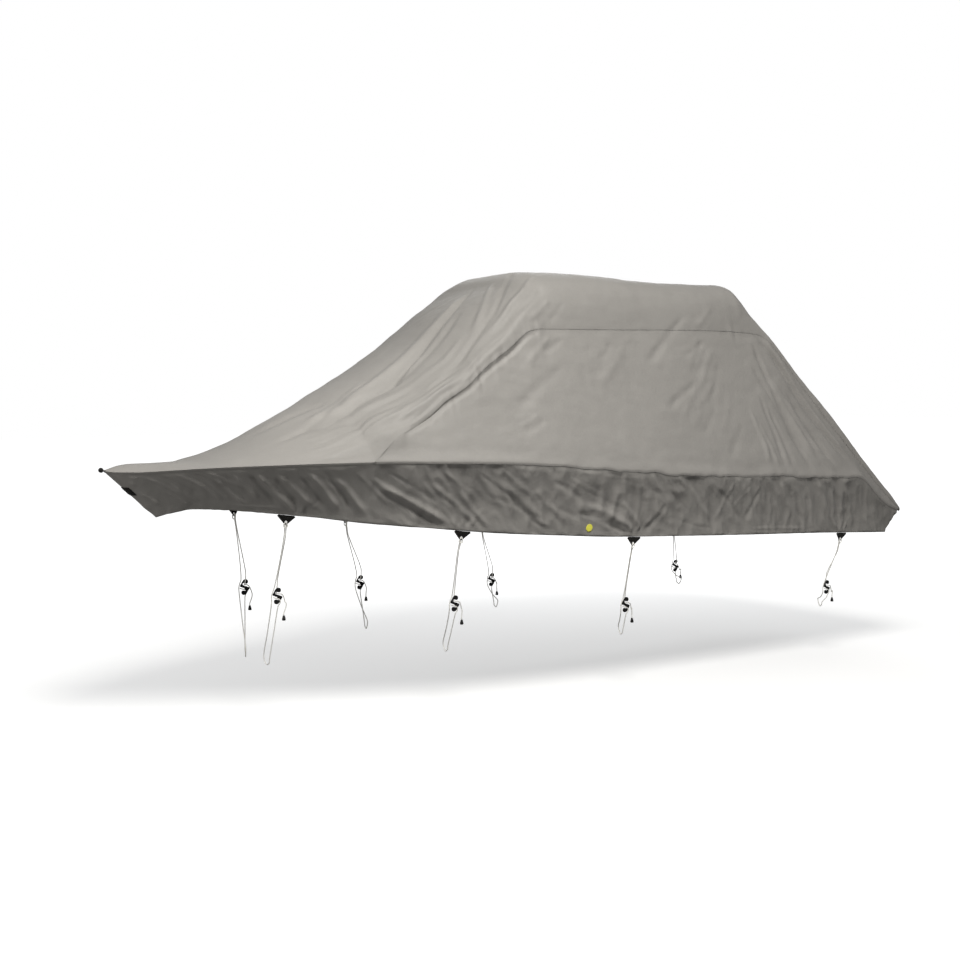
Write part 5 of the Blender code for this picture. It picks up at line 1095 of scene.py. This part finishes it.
ties = []
for name, side, o, along, pull in TAB_FRAMES:
    o, along, pull = np.array(o), unit(along), unit(pull)
    out = np.cross(along, pull)
    if out[1] * side < 0:
        out = -out
    k = int(name[-1]) - 1
    hook, foot_f, foot_b, bend, tip = [np.array([v[0], v[1] * -side, v[2]]) for v in TIES[k]]
    up, a, w = np.array([0, 0, 1.0]), np.array([1.0, 0, 0]), np.array([0, float(side), 0])
    hole = o + pull * (TAB_DROP - TAB_HOLE_UP)
    at = lambda q: hook + (a * q[0] + up * q[1] + w * q[2]) / 1000
    knot = lambda q, s: hole + (along * q[0] * s + pull * q[1] + out * q[2]) / 1000
    lower = [at(q) for q in LOWER_RUN]
    path = lower + [lower[-1] * 0.5 + (foot_f + up * 0.030) * 0.5, foot_f + up * 0.030, foot_f + up * 0.010 - w * 0.004,
                    (foot_f + foot_b) / 2 - up * 0.020, foot_b + up * 0.006 + w * 0.004, foot_b + up * 0.030]
    path += [foot_b * 0.5 + at(PAST_RUN[0]) * 0.5] + [at(q) for q in PAST_RUN]
    path += [knot(q, 1) for q in HITCH] + [knot(q, -1) for q in HITCH[-2::-1]]
    path += [at(q) for q in UPPER_RUN]
    top_end, fall = tip + up * (END_L + 0.001), bend - up * 0.018 + a * 0.002
    path += [bend + up * 0.004 + a * 0.004, fall, (fall + top_end + up * 0.014) / 2, top_end + up * 0.014, top_end]
    line, length = spline(path, 0.0034)
    rope = rope_mesh("tie_rope_" + name, line, ROPE_D)
    outline = chaikin([(x, z) for x, z in HOOK_HALF] + [(-x, -z) for x, z in HOOK_HALF], 2) / 1000
    t = HOOK_THICK / 2
    rings = [(0.0075, -t + 0.0011), (0.0068, -t + 0.0011), (0.0058, -t), (0.0022, -t), (0.0009, -t + 0.0006), (0.0001, -t + 0.0021), (0.0, 0.0),
             (0.0001, t - 0.0021), (0.0009, t - 0.0006), (0.0022, t), (0.0058, t), (0.0068, t - 0.0011), (0.0075, t - 0.0011)]
    hook_piece = moulded_plate("tie_hook_" + name, outline, rings, lambda x, z, d: hook + a * x + up * z + w * d)
    # the cord end: a moulded bell with a collar
    prof = [(0.0002, 0.05), (0.0, 0.55), (0.0006, 0.80), (0.0025, 0.95), (0.0055, 1.0), (0.0090, 0.985), (0.0102, 0.93), (0.0114, 0.93), (0.0126, 0.955),
            (0.0200, 0.82), (0.0275, 0.69), (0.0290, 0.62), (0.0302, 0.62), (0.0316, 0.66), (0.0345, 0.62), (0.0357, 0.54), (0.0360, 0.36)]
    n = 28
    verts = [tip + np.array([END_D / 2 * s * math.cos(2 * math.pi * i / n), END_D / 2 * s * math.sin(2 * math.pi * i / n), z]) for z, s in prof for i in range(n)]
    faces = [(r * n + i, r * n + (i + 1) % n, (r + 1) * n + (i + 1) % n, (r + 1) * n + i) for r in range(len(prof) - 1) for i in range(n)]
    faces += [tuple(range(n))[::-1], tuple(range((len(prof) - 1) * n, len(prof) * n))]
    end_piece = new_object("tie_end_" + name, verts, faces, [(v[0] + v[1], v[2]) for v in verts])
    tab, eyelet = tab_mesh("tie_tab_" + name, o, along, pull, out)
    ties.append((name, rope, line, length, hook_piece, end_piece, tab, eyelet))


# ---- the round patch, the webbing at the stem and the loop at the tip ----
def patch_mesh():
    n = unit((-0.0684, -0.9839, -0.1653))
    near = SKIRT_GRID.reshape(-1, 3)
    near = near[np.linalg.norm(near - PATCH_AT, axis=1) < 0.036]
    centre = PATCH_AT + n * (float(((near - PATCH_AT) @ n).max()) + 0.0012)
    u = unit(np.cross(n, [0, 0, 1.0]))
    v = np.cross(n, u)
    R = 0.029
    prof = [(0.0, 0.0009), (0.35, 0.00088), (0.62, 0.00082), (0.80, 0.0008), (0.835, 0.00045), (0.865, 0.00045), (0.90, 0.0009), (0.965, 0.0009), (0.99, 0.0005), (1.0, -0.0001), (0.985, -0.0007), (0.0, -0.0007)]
    m = 64
    verts, faces, uv = [], [], []
    for r, h in prof:
        for i in range(m):
            t = 2 * math.pi * i / m
            rr = max(r, 0.001) * R
            verts.append(centre + u * rr * math.cos(t) + v * rr * math.sin(t) + n * h)
            uv.append((rr * math.cos(t), rr * math.sin(t)))
    for k in range(len(prof) - 1):
        for i in range(m):
            faces.append((k * m + i, k * m + (i + 1) % m, (k + 1) * m + (i + 1) % m, (k + 1) * m + i))
    ob = new_object("patch_round", verts, faces, uv)
    bm = bmesh.new()
    bm.from_mesh(ob.data)
    bmesh.ops.remove_doubles(bm, verts=bm.verts, dist=0.00004)
    bmesh.ops.recalc_face_normals(bm, faces=bm.faces)
    bm.to_mesh(ob.data)
    bm.free()
    return ob


def stem_tab():
    """Webbing folded round the stem, sewn down along its edges."""
    stem = np.array([hem(-4.57)[0] - 0.010, 0.0, hem(-4.57)[2] - 0.002])
    cols = [(x, -1) for x in np.linspace(-4.538, -4.57, 8)] + [(None, t) for t in (-0.6, -0.3, 0.0, 0.3, 0.6)] + [(x, 1) for x in np.linspace(-4.57, -4.538, 8)]
    G = []
    for x, s in cols:
        if x is None:
            p = np.array([-4.570 - BOW_ROUND * (1 - s * s), 0.035 * s, rail(-4.57)[1] + (top(-4.57)[0] - rail(-4.57)[1]) * (1 - s * s)])
            h = stem + np.array([0.010 * s * s, 0.014 * s, 0.0])
        else:
            yr, zr = rail(x)
            p, h = np.array([x, s * yr, zr]), skirt_line(x, s, np.array([1.0]))[0]
        G.append([p + (h - p) * v for v in np.linspace(0.345, 0.515, 12)])
    G = np.array(G)
    for _ in range(3):
        G[1:-1] = G[1:-1] * 0.5 + (G[2:] + G[:-2]) * 0.25
    N = np.cross(np.gradient(G, axis=1), np.gradient(G, axis=0))
    N /= np.linalg.norm(N, axis=-1, keepdims=True)
    if N[len(cols) // 2, 6][0] > 0:
        N = -N
    i, j = np.arange(len(cols))[:, None], np.arange(12)[None]
    edge = np.minimum(np.minimum(i, len(cols) - 1 - i), np.minimum(j, 11 - j))
    lift = 0.0052 + 0.0012 * (edge > 1) - 0.0010 * (edge == 1) + 0.0008 * np.sin(i * 1.3) * np.sin(j * 0.9)
    verts, uv = [], []
    for face in (1.0, 0.0):
        verts += list((G + N * (lift * face + 0.0024 * (1 - face))[..., None]).reshape(-1, 3))
        uv += [(float(p[1] * 1.4), float(p[2])) for p in G.reshape(-1, 3)]
    m, size = 12, len(cols) * 12
    faces = grid_faces(len(cols), 12) + [tuple(v + size for v in f[::-1]) for f in grid_faces(len(cols), 12)]
    rim = [r * m for r in range(len(cols))] + [(len(cols) - 1) * m + q for q in range(1, m)] + [r * m + m - 1 for r in range(len(cols) - 2, -1, -1)] + [q for q in range(m - 2, 0, -1)]
    faces += [(x, y, y + size, x + size) for x, y in zip(rim, rim[1:] + rim[:1])]
    ob = new_object("stem_webbing", verts, faces, uv)
    bm = bmesh.new()
    bm.from_mesh(ob.data)
    bmesh.ops.recalc_face_normals(bm, faces=bm.faces)
    bm.to_mesh(ob.data)
    bm.free()
    return ob


def tip_loop():
    """A short loop of webbing sewn to the tip of the bow."""
    c = top_row(-4.570, np.array([0.0]))[0] + np.array([-0.0225, 0.0, 0.001])
    prof = []
    for i in range(40):  # the strap's line, a folded loop seen from the side
        t = 2 * math.pi * i / 40
        prof.append((0.0128 * math.cos(t) * (1 + 0.12 * math.cos(2 * t)), 0.0150 * math.sin(t)))
    verts, faces, uv = [], [], []
    W = np.linspace(-1, 1, 9)
    for j, q in enumerate(W):
        for i, (x, z) in enumerate(prof):
            k = 1 + 0.17 * math.sqrt(max(0.0, 1 - abs(q) ** 6))
            verts.append(c + np.array([x * k, 0.0125 * q, z * k]))
            uv.append((0.0125 * q, i * 0.0022))
    n = len(prof)
    for j in range(len(W) - 1):
        for i in range(n):
            faces.append((j * n + i, j * n + (i + 1) % n, (j + 1) * n + (i + 1) % n, (j + 1) * n + i))
    faces += [tuple(range(n))[::-1], tuple(range((len(W) - 1) * n, len(W) * n))]
    return new_object("bow_loop", verts, faces, uv)


patch = patch_mesh()
stem = stem_tab()
loop = tip_loop()


# ---- materials ----
def new_material(name, rough, specular, sheen=0.0, sheen_rough=0.5):
    m = bpy.data.materials.new(name)
    m.use_nodes = True
    nt = m.node_tree
    b = nt.nodes["Principled BSDF"]
    b.inputs["Roughness"].default_value = rough
    b.inputs["Specular IOR Level"].default_value = specular
    b.inputs["Sheen Weight"].default_value = sheen
    b.inputs["Sheen Roughness"].default_value = sheen_rough
    return m, nt, b


def node(nt, kind, **sockets):
    n = nt.nodes.new(kind)
    for key, value in sockets.items():
        setattr(n, key, value) if hasattr(n, key) else None
    return n


def link(nt, a, b):
    nt.links.new(a, b)


def math_node(nt, op, a, b=None, c=None):
    n = nt.nodes.new("ShaderNodeMath")
    n.operation = op
    for i, v in enumerate((a, b, c)):
        if v is None:
            continue
        if isinstance(v, (int, float)):
            n.inputs[i].default_value = v
        else:
            nt.links.new(v, n.inputs[i])
    return n.outputs[0]


def noise_node(nt, vector, scale, detail=3.0, rough=0.55):
    n = nt.nodes.new("ShaderNodeTexNoise")
    n.inputs["Scale"].default_value = scale
    n.inputs["Detail"].default_value = detail
    n.inputs["Roughness"].default_value = rough
    nt.links.new(vector, n.inputs["Vector"])
    return n.outputs["Fac"]


def bands(nt, value, period, phase=0.0):
    """A wave from 0 to 1 of the given period of a length."""
    s = math_node(nt, "MULTIPLY_ADD", value, 2 * math.pi / period, phase)
    return math_node(nt, "MULTIPLY_ADD", math_node(nt, "SINE", s), 0.5, 0.5)


def bump(nt, height, distance, strength, normal=None):
    n = nt.nodes.new("ShaderNodeBump")
    n.inputs["Strength"].default_value = strength
    n.inputs["Distance"].default_value = distance
    nt.links.new(height, n.inputs["Height"])
    if normal is not None:
        nt.links.new(normal, n.inputs["Normal"])
    return n.outputs["Normal"]


def tinted(nt, colour, factor):
    """Colour times a factor."""
    n = nt.nodes.new("ShaderNodeVectorMath")
    n.operation = "SCALE"
    n.inputs[0].default_value = colour
    nt.links.new(factor, n.inputs["Scale"])
    return n.outputs[0]


def uv_axes(nt, name):
    u = nt.nodes.new("ShaderNodeUVMap")
    u.uv_map = name
    s = nt.nodes.new("ShaderNodeSeparateXYZ")
    nt.links.new(u.outputs["UV"], s.inputs[0])
    return s.outputs[0], s.outputs[1]


def cloth_material(name, colour):
    """Coated polyester: fine plain weave, rows of stitches beside seams and hems, slow changes of tone, a soft sheen."""
    m, nt, b = new_material(name, 0.60, 0.34, 0.10, 0.45)
    co = nt.nodes.new("ShaderNodeTexCoord").outputs["Object"]
    u, v = uv_axes(nt, "cloth")
    e, run = uv_axes(nt, "edge")
    # the tone attribute brings in the sheets' darker seams and hems, and their painted light and shade
    att = nt.nodes.new("ShaderNodeAttribute")
    att.attribute_name = "tone"
    tone = att.outputs["Fac"]
    weave = math_node(nt, "ADD", math_node(nt, "MULTIPLY", bands(nt, u, 0.0018), bands(nt, v, 0.0018, 1.57)),
                      math_node(nt, "MULTIPLY", bands(nt, u, 0.0018, 3.14), bands(nt, v, 0.0018, 4.71)))
    slow, mid, fine = noise_node(nt, co, 0.9, 2.0), noise_node(nt, co, 9.0, 4.0), noise_node(nt, co, 70.0, 3.0, 0.6)
    # two rows of stitches, 5 and 12 mm from a seam, and one on the hem's inner edge
    def row(at):
        d = math_node(nt, "ABSOLUTE", math_node(nt, "SUBTRACT", e, at))
        near = math_node(nt, "SUBTRACT", 1.0, math_node(nt, "SMOOTH_MIN", math_node(nt, "MULTIPLY", d, 1 / 0.0016), 1.0, 0.1))
        near = math_node(nt, "MAXIMUM", near, 0.0)
        dash = math_node(nt, "GREATER_THAN", bands(nt, run, STITCH), 0.28)
        return near, math_node(nt, "MULTIPLY", near, dash)
    n1, s1 = row(0.0050)
    n2, s2 = row(0.0120)
    n3, s3 = row(HEM_BAND - 0.004)
    stitch = math_node(nt, "ADD", math_node(nt, "ADD", s1, s2), s3)
    gully = math_node(nt, "ADD", math_node(nt, "ADD", n1, n2), n3)
    f = math_node(nt, "MULTIPLY", tone, math_node(nt, "MULTIPLY_ADD", slow, 0.10, 0.95))
    f = math_node(nt, "MULTIPLY", f, math_node(nt, "MULTIPLY_ADD", mid, 0.10, 0.95))
    f = math_node(nt, "MULTIPLY", f, math_node(nt, "MULTIPLY_ADD", fine, 0.08, 0.96))
    f = math_node(nt, "MULTIPLY", f, math_node(nt, "MULTIPLY_ADD", weave, 0.06, 0.97))
    f = math_node(nt, "SUBTRACT", f, math_node(nt, "MULTIPLY", stitch, 0.10))
    link(nt, tinted(nt, colour, f), b.inputs["Base Color"])
    link(nt, math_node(nt, "MULTIPLY_ADD", mid, 0.12, 0.53), b.inputs["Roughness"])
    n = bump(nt, noise_node(nt, co, 16.0, 4.0, 0.5), 0.010, 0.28)
    n = bump(nt, noise_node(nt, co, 45.0, 3.0, 0.55), 0.0035, 0.30, n)
    n = bump(nt, weave, 0.00022, 0.35, n)
    n = bump(nt, math_node(nt, "SUBTRACT", math_node(nt, "MULTIPLY", stitch, 1.4), gully), 0.0009, 0.6, n)
    link(nt, n, b.inputs["Normal"])
    return m


def webbing_material(name, colour):
    m, nt, b = new_material(name, 0.72, 0.30, 0.20, 0.4)
    co = nt.nodes.new("ShaderNodeTexCoord").outputs["Object"]
    u, v = uv_axes(nt, "cloth")
    rib = math_node(nt, "MULTIPLY", bands(nt, u, 0.0022), bands(nt, v, 0.0016))
    mid = noise_node(nt, co, 120.0, 4.0, 0.6)
    f = math_node(nt, "MULTIPLY", math_node(nt, "MULTIPLY_ADD", rib, 0.5, 0.75), math_node(nt, "MULTIPLY_ADD", mid, 0.8, 0.6))
    link(nt, tinted(nt, colour, f), b.inputs["Base Color"])
    link(nt, math_node(nt, "MULTIPLY_ADD", mid, 0.2, 0.62), b.inputs["Roughness"])
    link(nt, bump(nt, rib, 0.0006, 0.8, bump(nt, mid, 0.0012, 0.5)), b.inputs["Normal"])
    return m


def rope_material(name, colour):
    m, nt, b = new_material(name, 0.70, 0.30, 0.25, 0.5)
    co = nt.nodes.new("ShaderNodeTexCoord").outputs["Object"]
    u, v = uv_axes(nt, "cloth")
    ang = math_node(nt, "MULTIPLY", u, 2 * math.pi * 7)
    run = math_node(nt, "MULTIPLY", v, 2 * math.pi * 3 / 0.034)
    braid = math_node(nt, "MULTIPLY", math_node(nt, "SINE", math_node(nt, "ADD", ang, run)), math_node(nt, "SINE", math_node(nt, "SUBTRACT", ang, run)))
    braid = math_node(nt, "MULTIPLY_ADD", braid, 0.5, 0.5)
    hair = noise_node(nt, co, 260.0, 4.0, 0.65)
    f = math_node(nt, "MULTIPLY", math_node(nt, "MULTIPLY_ADD", braid, 0.22, 0.84), math_node(nt, "MULTIPLY_ADD", hair, 0.24, 0.88))
    f = math_node(nt, "MULTIPLY", f, math_node(nt, "MULTIPLY_ADD", noise_node(nt, co, 6.0, 2.0), 0.10, 0.95))
    link(nt, tinted(nt, colour, f), b.inputs["Base Color"])
    link(nt, math_node(nt, "MULTIPLY_ADD", hair, 0.2, 0.6), b.inputs["Roughness"])
    link(nt, bump(nt, braid, 0.0008, 0.9, bump(nt, hair, 0.0008, 0.5)), b.inputs["Normal"])
    return m


def plastic_material(name, colour, rough, grain=420.0, wear=0.35):
    m, nt, b = new_material(name, rough, 0.5)
    co = nt.nodes.new("ShaderNodeTexCoord").outputs["Object"]
    mid, fine = noise_node(nt, co, 55.0, 4.0, 0.6), noise_node(nt, co, grain, 2.0, 0.5)
    f = math_node(nt, "MULTIPLY", math_node(nt, "MULTIPLY_ADD", mid, wear, 1 - wear / 2), math_node(nt, "MULTIPLY_ADD", fine, 0.10, 0.95))
    link(nt, tinted(nt, colour, f), b.inputs["Base Color"])
    link(nt, math_node(nt, "MULTIPLY_ADD", mid, 0.25, rough - 0.12), b.inputs["Roughness"])
    link(nt, bump(nt, fine, 0.0003, 0.35, bump(nt, mid, 0.0008, 0.2)), b.inputs["Normal"])
    return m


CLOTH_COLOUR = (0.372, 0.356, 0.333)
cloth_top = cloth_material("cover_cloth", CLOTH_COLOUR)
cloth_low = cloth_material("cover_cloth_skirt", CLOTH_COLOUR)
webbing = webbing_material("black_webbing", (0.017, 0.016, 0.014))
rope_white = rope_material("white_braid", (0.90, 0.885, 0.83))
# painted light: the rope glows faintly, so it reads whiter than its lighting makes it
rope_white.node_tree.nodes["Principled BSDF"].inputs["Emission Color"].default_value = (1.0, 0.98, 0.92, 1.0)
rope_white.node_tree.nodes["Principled BSDF"].inputs["Emission Strength"].default_value = 0.12
black_plastic = plastic_material("black_plastic", (0.013, 0.013, 0.013), 0.42)
yellow_plastic = plastic_material("yellow_plastic", (0.98, 0.93, 0.13), 0.48, 600.0, 0.10)
# painted light: the patch glows faintly, so it reads brighter than its lighting makes it
yellow_plastic.node_tree.nodes["Principled BSDF"].inputs["Emission Color"].default_value = (0.75, 0.72, 0.10, 1.0)
yellow_plastic.node_tree.nodes["Principled BSDF"].inputs["Emission Strength"].default_value = 0.16
for ob, m in ((middle, cloth_top), (flank_port, cloth_top), (flank_starboard, cloth_top), (skirt_cloth, cloth_low), (patch, yellow_plastic), (stem, webbing), (loop, webbing)):
    ob.data.materials.append(m)

# ---- hide the solids these pieces show instead, and hang every piece on the root ----
MIDDLE_NODES = ("middle_panel_bow", "middle_panel_slope_low", "middle_panel_slope_high", "middle_panel_roof", "middle_panel_edge", "middle_panel_back_high", "middle_panel_back_middle", "middle_panel_back_low")
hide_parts(*MIDDLE_NODES)
for ob, side in ((flank_port, "port"), (flank_starboard, "starboard")):
    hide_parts(*["side_panel_%s_%s" % (side, end) for end in ("slope", "roof", "back_high", "back_low")])
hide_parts("skirt")
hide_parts("round_patch")
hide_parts("bow_tab")
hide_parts("bow_tip_loop")
for ob in (middle, flank_port, flank_starboard, skirt_cloth):
    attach(ob, "root")
for ob, slot in ((patch, "patch"), (stem, "webbing"), (loop, "webbing")):
    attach(ob, "root")
for name, rope, line, length, hook_piece, end_piece, tab, eyelet in ties:
    for ob, m, slot, cad in ((rope, rope_white, "rope", "rope_"), (hook_piece, black_plastic, "hook", "hook_"), (end_piece, black_plastic, "hook", "cord_end_"), (tab, webbing, "webbing", "tab_")):
        ob.data.materials.append(m)
        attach(ob, "root")
        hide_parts(cad + name)
    eyelet.data.materials.append(black_plastic)
    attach(eyelet, "root")

# ---- floor, light and camera ----
me = bpy.data.meshes.new("floor")
me.from_pydata([(-90, -90, -ORIGIN[2]), (90, -90, -ORIGIN[2]), (90, 90, -ORIGIN[2]), (-90, 90, -ORIGIN[2])], [], [(0, 1, 2, 3)])
floor = bpy.data.objects.new("floor", me)
bpy.context.scene.collection.objects.link(floor)
# a pale floor that runs out into plain white a few metres away
m, nt, b = new_material("floor_pale", 0.95, 0.05)
b.inputs["Base Color"].default_value = (0.80, 0.80, 0.795, 1.0)
b.inputs["Emission Color"].default_value = (1.0, 1.0, 1.0, 1.0)
length = nt.nodes.new("ShaderNodeVectorMath")
length.operation = "LENGTH"
nt.links.new(nt.nodes.new("ShaderNodeTexCoord").outputs["Object"], length.inputs[0])
far_off = nt.nodes.new("ShaderNodeMapRange")
far_off.interpolation_type = "SMOOTHSTEP"
for key, value in (("From Min", 3.0), ("From Max", 13.0), ("To Min", 0.46), ("To Max", 1.0)):
    far_off.inputs[key].default_value = value
nt.links.new(length.outputs["Value"], far_off.inputs["Value"])
nt.links.new(far_off.outputs["Result"], b.inputs["Emission Strength"])
me.materials.append(m)
floor.visible_diffuse = False
floor.visible_glossy = False

world = bpy.data.worlds.new("studio")
bpy.context.scene.world = world
world.use_nodes = True
nt = world.node_tree
nt.nodes.clear()
out_node, bg, white, mixed = [nt.nodes.new(k) for k in ("ShaderNodeOutputWorld", "ShaderNodeBackground", "ShaderNodeBackground", "ShaderNodeMixShader")]
tc, sep = nt.nodes.new("ShaderNodeTexCoord"), nt.nodes.new("ShaderNodeSeparateXYZ")
ramp = nt.nodes.new("ShaderNodeValToRGB")
ramp.color_ramp.interpolation = "LINEAR"
ramp.color_ramp.elements[0].position, ramp.color_ramp.elements[0].color = 0.22, (0.130, 0.1285, 0.126, 1)
ramp.color_ramp.elements[1].position, ramp.color_ramp.elements[1].color = 0.62, (0.13, 0.132, 0.135, 1)
mid_stop = ramp.color_ramp.elements.new(0.46)
mid_stop.color = (0.06, 0.06, 0.06, 1)
nt.links.new(tc.outputs["Generated"], sep.inputs[0])
nt.links.new(math_node(nt, "MULTIPLY_ADD", sep.outputs[2], 0.5, 0.5), ramp.inputs[0])
nt.links.new(ramp.outputs[0], bg.inputs["Color"])
bg.inputs["Strength"].default_value = 1.0
white.inputs["Color"].default_value = (1.0, 1.0, 1.0, 1.0)
nt.links.new(nt.nodes.new("ShaderNodeLightPath").outputs["Is Camera Ray"], mixed.inputs[0])
nt.links.new(bg.outputs[0], mixed.inputs[1])
nt.links.new(white.outputs[0], mixed.inputs[2])
nt.links.new(mixed.outputs[0], out_node.inputs["Surface"])


def softbox(name, towards, distance, width, power, colour):
    """A square soft light that faces the middle of the cover."""
    light = bpy.data.lights.new(name, "AREA")
    light.shape, light.size, light.energy, light.color = "DISK", width, power, colour
    ob = bpy.data.objects.new(name, light)
    bpy.context.scene.collection.objects.link(ob)
    aim = Vector(towards).normalized()
    ob.location = Vector((-1.0 - float(ORIGIN[0]), 0.0, 2.0 - float(ORIGIN[2]))) + aim * distance
    ob.rotation_euler = aim.to_track_quat("Z", "Y").to_euler()


softbox("key", (-0.280, -0.630, 0.725), 9.0, 3.6, 705.0, (1.0, 0.985, 0.955))
softbox("low", (-0.95, -0.30, 0.08), 10.0, 3.0, 105.0, (1.0, 0.99, 0.965))
softbox("fill", (0.50, 0.72, 0.48), 10.0, 5.0, 220.0, (0.97, 0.985, 1.0))
softbox("back", (0.62, 0.77, 0.12), 10.0, 4.0, 170.0, (0.98, 0.99, 1.0))

cam = bpy.data.cameras.new("camera")
cam.lens, cam.sensor_width = 50.625, 36.0
cam.clip_end = 400.0
cam_ob = bpy.data.objects.new("camera", cam)
bpy.context.scene.collection.objects.link(cam_ob)
right, up_v, fwd = (0.840988, -0.540773, -0.017422), (0.046759, 0.040563, 0.998082), (0.539029, 0.840190, -0.059399)
eye = np.array([-7.42054, -9.25656, 2.29461]) - ORIGIN
mat = Matrix(((right[0], up_v[0], -fwd[0], eye[0]), (right[1], up_v[1], -fwd[1], eye[1]), (right[2], up_v[2], -fwd[2], eye[2]), (0, 0, 0, 1)))
rot, loc = Matrix([r[:3] for r in mat[:3]]).to_quaternion(), eye
cam_ob.rotation_euler = rot.to_euler()
cam_ob.location = Vector([float(q) for q in loc])
bpy.context.scene.camera = cam_ob
bpy.context.scene.view_settings.view_transform = "Standard"
